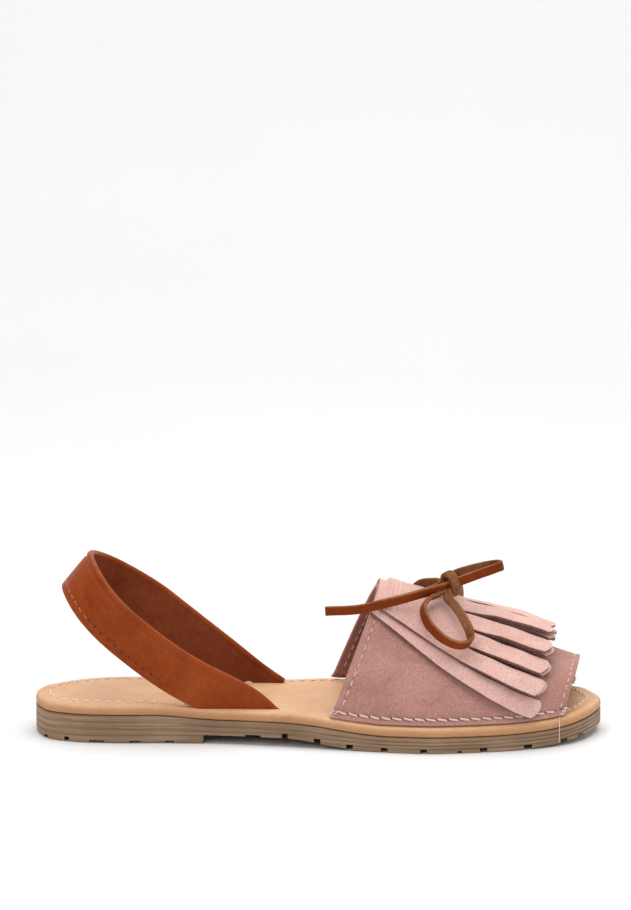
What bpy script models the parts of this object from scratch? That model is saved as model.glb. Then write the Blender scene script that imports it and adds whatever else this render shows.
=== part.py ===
"""Flat sandal of the Menorcan kind with a two-layer suede kiltie and a leather-thong bow.

Right shoe. Metres, +Z up, +X to the toe, lateral side at -Y, origin at the middle of the
bounding box on the floor. One closed solid for each piece that a maker would cut and join.
"""
import math

import bmesh
import bpy
import numpy as np
from mathutils import Vector

for old in list(bpy.data.objects):
    bpy.data.objects.remove(old, do_unlink=True)

# Sole and footbed
SOLE_LENGTH = 0.2555
BALL_WIDTH = 0.0950
HEEL_WIDTH = 0.0620
HEEL_HEIGHT = 0.0125
WAIST_HEIGHT = 0.0107
FORE_HEIGHT = 0.0070
WAIST_LIFT = 0.0040
TOE_SPRING = 0.0034
RIB_DEPTH = 0.0004
GROOVE_WIDTH = 0.0030
GROOVE_DEPTH = 0.0020
FOOTBED_THICK = 0.0046
FOOTBED_ROUND = 0.0024
FIT_GAP = 0.0003

# Vamp
VAMP_THICK = 0.0018
VAMP_INSET = 0.0020
VAMP_BACK = 0.1350
VAMP_FRONT = 0.2385
THROAT_RISE = 0.0513
FRONT_RISE = 0.0190

# Kiltie
KILTIE_THICK = 0.0014
KILTIE_REACH = 0.86
KILTIE_LIFT = 0.0067
SLIT_WIDTH = 0.0010

# Heel strap
STRAP_WIDTH = 0.0205
STRAP_THICK = 0.0030
STRAP_SPREAD = 0.0530
STRAP_REACH = 0.0755
STRAP_RISE = 0.0573
STRAP_FOOT = 0.0950
STRAP_SUNK = 0.0032

# Lace
LACE_WIDTH = 0.0042
LACE_THICK = 0.0018
KNOT_RADIUS = 0.0052
BOW_RISE = 0.0100

STATIONS = 72
VAMP_ROWS = 26
VAMP_COLS = 44


def pchip(knots, values, x):
    """Cubic through the knots without overshoot."""
    k = np.asarray(knots, float)
    v = np.asarray(values, float)
    h = np.diff(k)
    d = np.diff(v) / h
    m = np.zeros(len(k))
    for i in range(1, len(k) - 1):
        if d[i - 1] * d[i] > 0:
            a = 2 * h[i] + h[i - 1]
            b = h[i] + 2 * h[i - 1]
            m[i] = (a + b) / (a / d[i - 1] + b / d[i])
    m[0] = d[0]
    m[-1] = d[-1]
    x = np.clip(np.asarray(x, float), k[0], k[-1])
    i = np.clip(np.searchsorted(k, x, side="right") - 1, 0, len(k) - 2)
    t = (x - k[i]) / h[i]
    t2 = t * t
    t3 = t2 * t
    return ((2 * t3 - 3 * t2 + 1) * v[i] + (t3 - 2 * t2 + t) * h[i] * m[i]
            + (3 * t2 - 2 * t3) * v[i + 1] + (t3 - t2) * h[i] * m[i + 1])


def column(table, number):
    return [row[number] for row in table]


# Outline of the sole: along is the share of SOLE_LENGTH from the heel, the sides are
# shares of the local width (HEEL_WIDTH at the heel, BALL_WIDTH from the ball on).
OUTLINE = (
    # along, lateral, medial
    (0.000, 0.070, -0.070),
    (0.010, 0.285, 0.105),
    (0.030, 0.432, 0.205),
    (0.060, 0.500, 0.305),
    (0.100, 0.545, 0.392),
    (0.160, 0.555, 0.437),
    (0.240, 0.536, 0.444),
    (0.320, 0.532, 0.450),
    (0.400, 0.501, 0.430),
    (0.460, 0.470, 0.436),
    (0.520, 0.455, 0.474),
    (0.580, 0.462, 0.490),
    (0.640, 0.486, 0.496),
    (0.700, 0.499, 0.499),
    (0.760, 0.476, 0.494),
    (0.820, 0.437, 0.478),
    (0.880, 0.380, 0.450),
    (0.920, 0.324, 0.417),
    (0.950, 0.257, 0.372),
    (0.975, 0.163, 0.289),
    (0.990, 0.069, 0.177),
    (1.000, -0.058, 0.058),
)

# Top of the outsole: each height is a share of the size named in the second column.
TOP_LINE = (
    # along, size, share
    (0.000, "heel", 1.000),
    (0.220, "heel", 1.000),
    (0.305, "heel", 0.875),
    (0.330, "waist", 1.000),
    (0.450, "waist", 0.990),
    (0.490, "waist", 0.945),
    (0.535, "waist", 0.830),
    (0.580, "waist", 0.712),
    (0.620, "fore", 1.000),
    (0.825, "fore", 1.000),
    (0.895, "spring", 0.190),
    (0.930, "spring", 0.380),
    (0.955, "spring", 0.590),
    (0.980, "spring", 0.820),
    (1.000, "spring", 1.000),
)

# Underside: share of WAIST_LIFT under the waist, of TOE_SPRING under the toe.
WAIST_LINE = (
    # along, share
    (0.3050, 1.000),
    (0.4490, 1.000),
    (0.4900, 0.750),
    (0.5310, 0.420),
    (0.5800, 0.110),
    (0.6050, -0.060),
)
SPRING_LINE = (
    # along, share
    (0.825, 0.000),
    (0.860, 0.060),
    (0.895, 0.200),
    (0.930, 0.390),
    (0.955, 0.590),
    (0.980, 0.820),
    (1.000, 1.000),
)

# Side of the outsole from the floor up: share of its height, share of RIB_DEPTH.
SIDE_ROWS = (
    # rise, inset
    (0.000, 2.0),
    (0.050, 0.4),
    (0.250, 0.0),
    (0.275, 1.0),
    (0.330, 1.0),
    (0.355, 0.0),
    (0.475, 0.0),
    (0.500, 1.0),
    (0.555, 1.0),
    (0.580, 0.0),
    (0.700, 0.0),
    (0.725, 1.0),
    (0.780, 1.0),
    (0.805, 0.0),
    (0.960, 0.0),
    (1.000, 1.2),
)

# Grooves across the underside, between the lugs.
GROOVES = (
    # along, width, depth
    (0.0265, 0.6, 0.8),
    (0.0650, 0.7, 1.1),
    (0.1190, 2.2, 0.6),
    (0.1860, 1.6, 0.6),
    (0.2465, 1.3, 0.62),
    (0.3930, 2.4, 0.4),
    (0.4490, 0.9, 1.0),
    (0.5060, 1.0, 1.0),
    (0.5630, 1.0, 1.0),
    (0.6235, 1.0, 1.0),
    (0.6920, 1.0, 1.0),
    (0.7540, 0.6, 0.6),
    (0.7950, 1.1, 1.0),
    (0.8720, 1.2, 1.0),
    (0.9350, 1.0, 0.9),
    (0.9640, 0.8, 0.8),
)

# Edge of the footbed: share of its thickness, share of FOOTBED_ROUND.
EDGE_ROWS = (
    # rise, inset
    (0.00, 0.34),
    (0.10, 0.10),
    (0.30, 0.00),
    (0.50, 0.00),
    (0.68, 0.08),
    (0.82, 0.25),
    (0.93, 0.55),
    (1.00, 1.00),
)


def along_of(x):
    return np.clip(np.asarray(x, float) / SOLE_LENGTH + 0.5, 0.0, 1.0)


def x_of(along):
    return (np.asarray(along, float) - 0.5) * SOLE_LENGTH


def swing(along):
    """Angle measure of a station, which keeps the round ends smooth."""
    return np.arccos(1 - 2 * np.clip(np.asarray(along, float), 0.0, 1.0)) / math.pi


def local_width(along):
    t = np.clip((np.asarray(along, float) - 0.30) / 0.30, 0.0, 1.0)
    t = t * t * (3 - 2 * t)
    return HEEL_WIDTH + (BALL_WIDTH - HEEL_WIDTH) * t


def side_y(side, along):
    """y of the outline: side 0 lateral (negative y), side 1 medial."""
    knots = swing(column(OUTLINE, 0))
    share = pchip(knots, column(OUTLINE, 1 + side), swing(along))
    return share * local_width(along) * (1 if side else -1)


def top_z(along):
    """Top of the outsole."""
    heights = []
    for row in TOP_LINE:
        if row[1] == "heel":
            heights.append(row[2] * HEEL_HEIGHT)
        elif row[1] == "waist":
            heights.append(row[2] * WAIST_HEIGHT)
        elif row[1] == "fore":
            heights.append(row[2] * FORE_HEIGHT)
        else:
            heights.append(FORE_HEIGHT + row[2] * TOE_SPRING)
    return pchip(column(TOP_LINE, 0), heights, along)


def spring_z(along):
    """Underside without the waist's recess."""
    return TOE_SPRING * pchip(column(SPRING_LINE, 0), column(SPRING_LINE, 1), along)


def waist_z(along):
    return WAIST_LIFT * pchip(column(WAIST_LINE, 0), column(WAIST_LINE, 1), along)


def bed_z(along):
    """Top of the footbed."""
    return top_z(along) + FIT_GAP + FOOTBED_THICK


def outline_ring(inset):
    """Closed ring of (x, y): lateral side heel to toe, then medial side back."""
    u = np.linspace(0.0, 1.0, STATIONS + 1)
    along = (1 - np.cos(math.pi * u)) / 2
    lateral = np.stack([x_of(along), side_y(0, along)], 1)
    medial = np.stack([x_of(along), side_y(1, along)], 1)[::-1]
    ring = np.concatenate([lateral[:-1], medial[:-1]])
    ahead = np.roll(ring, -1, 0) - np.roll(ring, 1, 0)
    normal = np.stack([-ahead[:, 1], ahead[:, 0]], 1)
    normal /= np.linalg.norm(normal, axis=1)[:, None]
    return ring + normal * inset


def finish(name, bm, material):
    bmesh.ops.remove_doubles(bm, verts=bm.verts, dist=0.000002)
    bmesh.ops.recalc_face_normals(bm, faces=bm.faces)
    mesh = bpy.data.meshes.new(name)
    bm.to_mesh(mesh)
    bm.free()
    obj = bpy.data.objects.new(name, mesh)
    PARTS.objects.link(obj)
    mesh.materials.append(material)
    return obj


def rings_solid(name, rings, material):
    """Rings of outline points joined side to side, with caps of quads across."""
    bm = bmesh.new()
    rows = []
    for ring in rings:
        rows.append([bm.verts.new(tuple(p)) for p in ring])
    count = len(rows[0])
    for low, high in zip(rows[:-1], rows[1:]):
        for i in range(count):
            j = (i + 1) % count
            bm.faces.new((low[i], low[j], high[j], high[i]))
    for cap in (rows[0], rows[-1]):
        half = count // 2
        for i in range(half):
            a = cap[i]
            b = cap[i + 1]
            c = cap[(count - i - 1) % count]
            d = cap[(count - i) % count]
            corners = []
            for v in (a, b, c, d):
                if v not in corners:
                    corners.append(v)
            if len(corners) > 2:
                bm.faces.new(corners)
    return finish(name, bm, material)


def prism(name, profile, y0, y1):
    """Cutter: a side-view polygon of (x, z) swept across the shoe."""
    bm = bmesh.new()
    near = [bm.verts.new((x, y0, z)) for x, z in profile]
    far = [bm.verts.new((x, y1, z)) for x, z in profile]
    count = len(profile)
    for i in range(count):
        j = (i + 1) % count
        bm.faces.new((near[i], near[j], far[j], far[i]))
    bm.faces.new(near)
    bm.faces.new(far)
    bmesh.ops.recalc_face_normals(bm, faces=bm.faces)
    mesh = bpy.data.meshes.new(name)
    bm.to_mesh(mesh)
    bm.free()
    obj = bpy.data.objects.new(name, mesh)
    CUTTERS.objects.link(obj)
    obj.hide_render = True
    obj.display_type = "WIRE"
    return obj


def cut(target, cutter):
    mod = target.modifiers.new("cut_" + cutter.name, "BOOLEAN")
    mod.operation = "DIFFERENCE"
    mod.solver = "EXACT"
    mod.object = cutter


def weld(target):
    mod = target.modifiers.new("weld", "WELD")
    mod.merge_threshold = 0.00004


def surface(name, color, rough):
    mat = bpy.data.materials.new(name)
    mat.use_nodes = True
    shader = mat.node_tree.nodes["Principled BSDF"]
    shader.inputs["Base Color"].default_value = (*color, 1.0)
    shader.inputs["Roughness"].default_value = rough
    mat.diffuse_color = (*color, 1.0)
    return mat


PARTS = bpy.data.collections.new("flat_sandal")
CUTTERS = bpy.data.collections.new("flat_sandal_cutters")
bpy.context.scene.collection.children.link(PARTS)
bpy.context.scene.collection.children.link(CUTTERS)

RUBBER = surface("outsole_rubber", (0.25, 0.17, 0.10), 0.55)
TAN = surface("footbed_leather", (0.72, 0.42, 0.22), 0.55)
ROSE = surface("vamp_suede", (0.40, 0.20, 0.18), 0.95)


PALE = surface("kiltie_suede", (0.58, 0.34, 0.30), 0.95)
SADDLE = surface("strap_leather", (0.32, 0.09, 0.03), 0.45)
THONG = surface("lace_leather", (0.30, 0.09, 0.03), 0.6)


def build_outsole():
    rings = []
    for rise, inset in SIDE_ROWS:
        flat = outline_ring(inset * RIB_DEPTH)
        along = along_of(flat[:, 0])
        low = spring_z(along)
        z = low + rise * (top_z(along) - low)
        rings.append(np.column_stack([flat, z]))
    sole = rings_solid("outsole", rings, RUBBER)
    wide = BALL_WIDTH
    recess = [(x_of(WAIST_LINE[0][0]), -0.01)]
    for along in np.linspace(WAIST_LINE[0][0], WAIST_LINE[-1][0], 17):
        recess.append((float(x_of(along)), float(waist_z(along))))
    recess.append((float(x_of(WAIST_LINE[-1][0])), -0.01))
    cut(sole, prism("waist_recess", recess, -wide, wide))
    for number, (along, width, depth) in enumerate(GROOVES):
        half = width * GROOVE_WIDTH / 2
        x = float(x_of(along))
        low = float(spring_z(along))
        if WAIST_LINE[0][0] < along < WAIST_LINE[-1][0]:
            low = max(low, float(waist_z(along)))
        high = low + depth * GROOVE_DEPTH
        box = [(x - half, -0.01), (x - half, high), (x + half, high), (x + half, -0.01)]
        cut(sole, prism("groove_%02d" % (number + 1), box, -wide, wide))
    weld(sole)
    return sole


def build_footbed():
    rings = []
    for rise, inset in EDGE_ROWS:
        flat = outline_ring(inset * FOOTBED_ROUND)
        z = top_z(along_of(flat[:, 0])) + FIT_GAP + rise * FOOTBED_THICK
        rings.append(np.column_stack([flat, z]))
    return rings_solid("footbed", rings, TAN)


# Vamp: sections that lean forward. run is the share between the back and front edges.
VAMP_LINE = (
    # run, rise, lean, ridge, lateral_power, medial_power
    (0.00, 1.000, 0.410, 0.045, 1.70, 2.10),
    (0.18, 0.905, 0.400, 0.050, 1.72, 2.10),
    (0.36, 0.730, 0.385, 0.055, 1.75, 2.10),
    (0.48, 0.600, 0.370, 0.060, 1.80, 2.10),
    (0.63, 0.430, 0.350, 0.065, 1.85, 2.10),
    (0.72, 0.325, 0.330, 0.070, 1.90, 2.10),
    (0.88, 0.120, 0.290, 0.070, 2.00, 2.10),
    (1.00, 0.000, 0.250, 0.070, 2.05, 2.10),
)


SECTIONS = {}


def vamp_section(run):
    """Sizes of the leaning section at this run."""
    key = round(float(run), 6)
    if key not in SECTIONS:
        SECTIONS[key] = new_section(key)
    return SECTIONS[key]


def new_section(run):
    v = [float(pchip(column(VAMP_LINE, 0), column(VAMP_LINE, n), run)) for n in range(1, 6)]
    rise, lean, ridge, p_lat, p_med = v
    back = VAMP_BACK / SOLE_LENGTH
    front = VAMP_FRONT / SOLE_LENGTH
    lat = back + (front - back) * run
    med = back - 0.012 + (front - back + 0.030) * run
    y_lat = float(side_y(0, lat)) + VAMP_INSET
    y_med = float(side_y(1, med)) - VAMP_INSET
    mid = ridge * BALL_WIDTH
    return {
        "lat": lat, "med": med, "lean": lean, "mid": mid,
        "wide": (mid - y_lat, y_med - mid),
        "high": FRONT_RISE + rise * (THROAT_RISE - FRONT_RISE),
        "power": (p_lat, p_med),
        "base": (float(bed_z(lat)), float(bed_z(med))),
    }


def section_point(s, phi, out):
    """Point of a section at angle phi (0 lateral foot, pi medial foot), grown by out."""
    side = 0 if phi <= math.pi / 2 else 1
    power = 2.0 / s["power"][side]
    c = max(abs(math.cos(phi)), 0.0) ** power
    v = max(math.sin(phi), 0.0) ** power
    w = s["wide"][side] + out
    y = s["mid"] + (w * c if side else -w * c)
    rise = (s["high"] + out) * v
    blend = 0.5 * (1 - math.cos(phi))
    along = s["lat"] + (s["med"] - s["lat"]) * blend
    base = s["base"][0] * (1 - blend) + s["base"][1] * blend
    return (float(x_of(along)) + s["lean"] * rise, y, base + FIT_GAP + rise)


ARCS = {}


def section_angles(s, shares):
    """Angles that stand at these shares of the section's arc."""
    key = (round(s["lat"], 5), round(s["high"], 6))
    if key not in ARCS:
        phis = np.linspace(0.0, math.pi, 121)
        pts = np.array([section_point(s, p, 0.0) for p in phis])
        steps = np.linalg.norm(np.diff(pts, axis=0), axis=1)
        run = np.concatenate([[0.0], np.cumsum(steps)])
        ARCS[key] = (phis, run / run[-1], float(run[-1]))
    phis, run, length = ARCS[key]
    return np.interp(np.asarray(shares), run, phis)


def build_vamp():
    outer = []
    inner = []
    shares = np.linspace(0.0, 1.0, VAMP_COLS + 1)
    for run in np.linspace(0.0, 1.0, VAMP_ROWS + 1):
        s = vamp_section(run)
        phis = section_angles(s, shares)
        outer.append([section_point(s, p, 0.0) for p in phis])
        inner.append([section_point(s, p, -VAMP_THICK) for p in phis])
    bm = bmesh.new()
    top = [[bm.verts.new(p) for p in row] for row in outer]
    low = [[bm.verts.new(p) for p in row] for row in inner]
    for i in range(VAMP_ROWS):
        for j in range(VAMP_COLS):
            bm.faces.new((top[i][j], top[i][j + 1], top[i + 1][j + 1], top[i + 1][j]))
            bm.faces.new((low[i][j], low[i + 1][j], low[i + 1][j + 1], low[i][j + 1]))
        for j in (0, VAMP_COLS):
            bm.faces.new((top[i][j], top[i + 1][j], low[i + 1][j], low[i][j]))
    for i in (0, VAMP_ROWS):
        for j in range(VAMP_COLS):
            bm.faces.new((top[i][j], top[i][j + 1], low[i][j + 1], low[i][j]))
    return finish("vamp", bm, ROSE)


# Kiltie: straight lines from the throat to the tips. base and tip are shares of the arc.
KILTIE_LINES = (
    # base, tip
    (0.348, 0.012),
    (0.366, 0.100),
    (0.380, 0.196),
    (0.408, 0.300),
    (0.432, 0.420),
    (0.480, 0.540),
    (0.512, 0.652),
    (0.540, 0.757),
    (0.560, 0.857),
    (0.580, 0.945),
)

# One row for each strip, lateral to medial: share of KILTIE_LIFT at the tip, where the
# tip ends as a share of KILTIE_REACH, and which edge curls up (1 lateral, -1 medial).
STRIPS = (
    # lift, tip, curl
    (0.06, 1.010, 1.0),
    (0.20, 1.010, 1.0),
    (0.37, 1.005, 1.0),
    (0.66, 0.995, 1.0),
    (1.00, 0.985, 1.0),
    (0.92, 0.990, -1.0),
    (0.62, 0.995, -1.0),
    (0.34, 1.000, -1.0),
    (0.10, 1.000, -1.0),
)

# Where the slit between two strips starts, as a run.
SLIT_STARTS = (0.44, 0.46, 0.44, 0.39, 0.40, 0.44, 0.46, 0.44)

# Shape of a tip: share across the strip, how far it ends before the tip (run).
TIP_SHAPE = (
    # across, back
    (0.00, 0.034),
    (0.22, 0.014),
    (0.50, 0.001),
    (0.78, 0.000),
    (1.00, 0.014),
)


def kiltie_share(line, run):
    base, tip = KILTIE_LINES[line]
    return base + (tip - base) * run / KILTIE_REACH


def kiltie_rise(strip, across, run):
    """Lift of the layer above its seat on the vamp, before the shares of a layer."""
    grow = min(max((run - 0.16) / (KILTIE_REACH - 0.16), 0.0), 1.2) ** 0.9
    centers = [i + 0.5 for i in range(len(STRIPS))]
    lifts = column(STRIPS, 0)
    here = float(pchip(centers, lifts, strip + across))
    own = lifts[strip]
    near = [SLIT_STARTS[k] for k in (strip - 1, strip) if 0 <= k < len(SLIT_STARTS)]
    free = min(max((run - max(near)) / 0.16, 0.0), 1.0)
    curl = STRIPS[strip][2] * (1 - 2 * across) * 0.09
    return KILTIE_LIFT * grow * (own + (here - own) * (1 - free) + curl * free)


def kiltie_layer(name, first, last, seat, lift_share, longer, shift):
    """One layer: strips first to last joined at the throat, cut free by slits."""
    runs_free = 15
    cells = []
    for strip in range(first, last + 1):
        for across in column(TIP_SHAPE, 0):
            cells.append((strip, across))
    starts = [SLIT_STARTS[k] for k in range(first, last)]
    levels = sorted(set([0.0, 0.04, 0.10, 0.17, 0.24, 0.31, 0.36] + starts))
    levels += [0.50 + 0.36 * k / runs_free for k in range(runs_free + 1)]
    top = []
    low = []
    for level in levels:
        s_row = []
        l_row = []
        for strip, across in cells:
            tip = STRIPS[strip][1] * KILTIE_REACH + longer
            back = float(np.interp(across, column(TIP_SHAPE, 0), column(TIP_SHAPE, 1)))
            run = level
            if level > 0.5:
                run = 0.5 + (level - 0.5) / 0.36 * (tip - back - 0.5)
            lo = kiltie_share(strip, run) + (shift if strip > 0 else 0.0)
            hi = kiltie_share(strip + 1, run) + (shift if strip < 8 else 0.0)
            gap = 0.0
            sec = vamp_section(run)
            arc = section_length(sec)
            if strip > first and run > SLIT_STARTS[strip - 1]:
                gap = SLIT_WIDTH / 2 / arc
            lo += gap
            gap = 0.0
            if strip < last and run > SLIT_STARTS[strip]:
                gap = SLIT_WIDTH / 2 / arc
            hi -= gap
            share = lo + (hi - lo) * across
            phi = float(section_angles(sec, [share])[0])
            out = seat + lift_share * kiltie_rise(strip, across, run)
            s_row.append(section_point(sec, phi, out + KILTIE_THICK))
            l_row.append(section_point(sec, phi, out))
        top.append(s_row)
        low.append(l_row)
    wide = len(TIP_SHAPE)
    bm = bmesh.new()
    up = [[bm.verts.new(p) for p in row] for row in top]
    dn = [[bm.verts.new(p) for p in row] for row in low]
    rows = len(levels)
    cols = len(cells)
    solid = np.zeros((rows - 1, cols - 1), bool)
    for i in range(rows - 1):
        for j in range(cols - 1):
            between = (j + 1) % wide == 0
            if between:
                start = SLIT_STARTS[first + j // wide]
                solid[i, j] = levels[i + 1] <= start + 1e-6
            else:
                solid[i, j] = True
    for i in range(rows - 1):
        for j in range(cols - 1):
            if not solid[i, j]:
                continue
            bm.faces.new((up[i][j], up[i][j + 1], up[i + 1][j + 1], up[i + 1][j]))
            bm.faces.new((dn[i][j], dn[i + 1][j], dn[i + 1][j + 1], dn[i][j + 1]))
            if i == 0 or not solid[i - 1, j]:
                bm.faces.new((up[i][j], dn[i][j], dn[i][j + 1], up[i][j + 1]))
            if i == rows - 2 or not solid[i + 1, j]:
                bm.faces.new((up[i + 1][j], up[i + 1][j + 1], dn[i + 1][j + 1], dn[i + 1][j]))
            if j == 0 or not solid[i, j - 1]:
                bm.faces.new((up[i][j], up[i + 1][j], dn[i + 1][j], dn[i][j]))
            if j == cols - 2 or not solid[i, j + 1]:
                bm.faces.new((up[i][j + 1], dn[i][j + 1], dn[i + 1][j + 1], up[i + 1][j + 1]))
    return finish(name, bm, PALE)


def section_length(sec):
    section_angles(sec, [0.5])
    return ARCS[(round(sec["lat"], 5), round(sec["high"], 6))][2]


# Heel strap, from inside the lateral slit round the heel to inside the medial one.
STRAP_PATH = (
    # reach, side, rise, tilt: shares of STRAP_REACH, half STRAP_SPREAD and STRAP_RISE;
    # tilt is how far the width leans to the toe, in degrees
    (-0.140, -1.000, -0.150, 38.0),
    (0.000, -1.000, 0.010, 38.0),
    (0.266, -1.070, 0.198, 34.0),
    (0.416, -1.095, 0.318, 35.0),
    (0.557, -1.095, 0.450, 38.0),
    (0.733, -1.020, 0.630, 41.0),
    (0.862, -0.830, 0.785, 44.0),
    (0.955, -0.500, 0.925, 42.0),
    (1.000, -0.040, 1.000, 39.0),
    (0.958, 0.440, 0.955, 38.0),
    (0.834, 0.860, 0.838, 38.0),
    (0.628, 1.060, 0.655, 38.0),
    (0.458, 1.085, 0.480, 38.0),
    (0.337, 1.075, 0.355, 38.0),
    (0.166, 1.040, 0.182, 38.0),
    (0.000, 1.000, 0.010, 38.0),
    (-0.140, 1.000, -0.120, 38.0),
)


def spline(points, steps):
    """Centripetal curve through the points."""
    p = np.asarray(points, float)
    p = np.vstack([2 * p[0] - p[1], p, 2 * p[-1] - p[-2]])
    out = []
    for i in range(1, len(p) - 2):
        for k in range(steps):
            t = k / steps
            a, b, c, d = p[i - 1], p[i], p[i + 1], p[i + 2]
            out.append(0.5 * (2 * b + (c - a) * t + (2 * a - 5 * b + 4 * c - d) * t * t
                              + (3 * b - a - 3 * c + d) * t ** 3))
    out.append(p[-2])
    return np.array(out)


def band_solid(path, widths, wide, thick, closed):
    """Flat band along a path. widths points to the upper edge at each path point."""
    path = np.asarray(path, float)
    count = len(path)
    bm = bmesh.new()
    loops = []
    edge = min(thick, wide) * 0.28
    for i in range(count):
        a = path[(i - 1) % count] if closed or i > 0 else path[0]
        b = path[(i + 1) % count] if closed or i < count - 1 else path[-1]
        along = Vector(b - a).normalized()
        up = Vector(widths[i])
        up = (up - along * up.dot(along)).normalized()
        out = along.cross(up)
        half = wide / 2
        deep = thick / 2
        corners = ((-half + edge, -deep), (half - edge, -deep), (half, -deep + edge),
                   (half, deep - edge), (half - edge, deep), (-half + edge, deep),
                   (-half, deep - edge), (-half, -deep + edge))
        at = Vector(path[i])
        loops.append([bm.verts.new(at + up * u + out * v) for u, v in corners])
    size = len(loops[0])
    for i in range(count if closed else count - 1):
        j = (i + 1) % count
        for k in range(size):
            m = (k + 1) % size
            bm.faces.new((loops[i][k], loops[i][m], loops[j][m], loops[j][k]))
    if not closed:
        bm.faces.new(loops[0])
        bm.faces.new(loops[-1])
    bmesh.ops.recalc_face_normals(bm, faces=bm.faces)
    return bm


def strap_path():
    rows = spline(STRAP_PATH, 4)
    x0 = float(x_of(STRAP_FOOT / SOLE_LENGTH))
    bed = float(bed_z(STRAP_FOOT / SOLE_LENGTH))
    mid = -0.032 * HEEL_WIDTH
    path = []
    widths = []
    for reach, side, rise, tilt in rows:
        path.append((x0 - reach * STRAP_REACH, mid + side * STRAP_SPREAD / 2,
                     bed + rise * STRAP_RISE))
        turn = math.radians(tilt)
        widths.append((math.sin(turn), 0.0, math.cos(turn)))
    return path, widths


def trimmed_strap(grow, sunk):
    path, widths = strap_path()
    bm = band_solid(path, widths, STRAP_WIDTH + 2 * grow, STRAP_THICK + 2 * grow, False)
    level = float(bed_z(STRAP_FOOT / SOLE_LENGTH)) - sunk
    geom = list(bm.verts) + list(bm.edges) + list(bm.faces)
    bmesh.ops.bisect_plane(bm, geom=geom, plane_co=(0, 0, level), plane_no=(0, 0, 1),
                           clear_inner=True, dist=1e-7)
    rims = [e for e in bm.edges if e.is_boundary]
    bmesh.ops.holes_fill(bm, edges=rims, sides=0)
    return bm


def build_strap(footbed):
    finish("heel_strap", trimmed_strap(0.0, STRAP_SUNK), SADDLE)
    bm = trimmed_strap(FIT_GAP, STRAP_SUNK + FIT_GAP)
    bmesh.ops.recalc_face_normals(bm, faces=bm.faces)
    mesh = bpy.data.meshes.new("strap_slits")
    bm.to_mesh(mesh)
    bm.free()
    obj = bpy.data.objects.new("strap_slits", mesh)
    CUTTERS.objects.link(obj)
    obj.hide_render = True
    obj.display_type = "WIRE"
    cut(footbed, obj)
    weld(footbed)


# Bow. Points are given over the vamp: run, share of the arc, and how far out as a share
# of BOW_RISE. The last three numbers point along the width of the thong there.
TAIL_PATH = (
    # run, share, out, width x, width y, width z
    (0.262, 0.432, 1.360, 0.10, -0.25, 0.95),
    (0.233, 0.421, 1.225, 0.10, -0.25, 0.95),
    (0.150, 0.387, 0.938, 0.05, -0.20, 0.97),
    (0.049, 0.361, 0.631, 0.00, -0.10, 1.00),
    (-0.050, 0.343, 0.387, 0.00, -0.05, 1.00),
    (-0.189, 0.337, 0.337, 0.00, 0.00, 1.00),
)
FRONT_LOOP = (
    # run, share, out, width x, width y, width z
    (0.326, 0.451, 1.760, -0.20, -0.10, 0.97),
    (0.405, 0.451, 2.350, -0.22, -0.10, 0.97),
    (0.468, 0.457, 2.750, -0.22, -0.05, 0.97),
    (0.494, 0.473, 2.850, -0.22, 0.00, 0.97),
    (0.468, 0.489, 2.740, -0.22, 0.05, 0.97),
    (0.400, 0.493, 2.400, -0.22, 0.05, 0.97),
    (0.330, 0.489, 2.020, -0.20, 0.00, 0.97),
)
NEAR_LOOP = (
    # run, share, out, width x, width y, width z
    (0.258, 0.424, 0.900, 0.55, -0.55, 0.60),
    (0.226, 0.398, 0.940, 0.45, -0.70, 0.55),
    (0.212, 0.357, 0.930, 0.45, -0.70, 0.55),
    (0.246, 0.318, 0.860, 0.45, -0.68, 0.58),
    (0.295, 0.293, 0.810, 0.42, -0.65, 0.62),
    (0.351, 0.273, 0.800, 0.35, -0.62, 0.70),
    (0.406, 0.262, 0.820, 0.25, -0.62, 0.74),
    (0.446, 0.263, 0.880, 0.10, -0.66, 0.74),
    (0.470, 0.278, 0.980, 0.20, -0.75, 0.62),
    (0.452, 0.304, 1.080, 0.45, -0.75, 0.48),
    (0.412, 0.339, 1.160, 0.50, -0.72, 0.48),
    (0.356, 0.383, 1.160, 0.55, -0.68, 0.48),
    (0.312, 0.412, 1.060, 0.60, -0.62, 0.50),
)
FAR_END = (
    # run, share, out, width x, width y, width z
    (0.296, 0.494, 1.420, 0.30, 0.10, 0.90),
    (0.318, 0.535, 1.180, 0.40, 0.30, 0.80),
    (0.345, 0.590, 0.980, 0.60, 0.40, 0.60),
    (0.368, 0.645, 0.860, 0.75, 0.40, 0.45),
    (0.388, 0.700, 0.760, 0.85, 0.35, 0.35),
    (0.404, 0.750, 0.690, 0.88, 0.35, 0.30),
)
CROSSING = (
    # run, share, out, width x, width y, width z
    (0.165, 0.470, 0.610, -0.35, -0.10, 0.93),
    (0.196, 0.468, 0.860, -0.35, -0.05, 0.93),
    (0.228, 0.472, 1.090, -0.30, 0.00, 0.95),
    (0.246, 0.486, 1.180, -0.30, 0.00, 0.95),
    (0.232, 0.504, 1.090, -0.30, 0.00, 0.95),
    (0.204, 0.524, 0.900, -0.35, 0.05, 0.93),
    (0.178, 0.546, 0.620, -0.35, 0.15, 0.90),
)
KNOT_AT = (0.295, 0.457, 1.560)
KNOT_AXIS = (0.80, -0.52, 0.24)

# Half profile of the knot: along its axis as a share of LACE_WIDTH, out as a share of
# KNOT_RADIUS.
KNOT_ROWS = (
    # along, out
    (-0.62, 0.00),
    (-0.60, 0.42),
    (-0.50, 0.66),
    (-0.47, 0.90),
    (-0.38, 1.00),
    (0.38, 1.00),
    (0.47, 0.90),
    (0.50, 0.66),
    (0.60, 0.42),
    (0.62, 0.00),
)


def over_vamp(run, share, out):
    """Point over the vamp, used for the bow."""
    sec = vamp_section(run)
    phi = float(section_angles(sec, [share])[0])
    return section_point(sec, phi, out * BOW_RISE)


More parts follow.
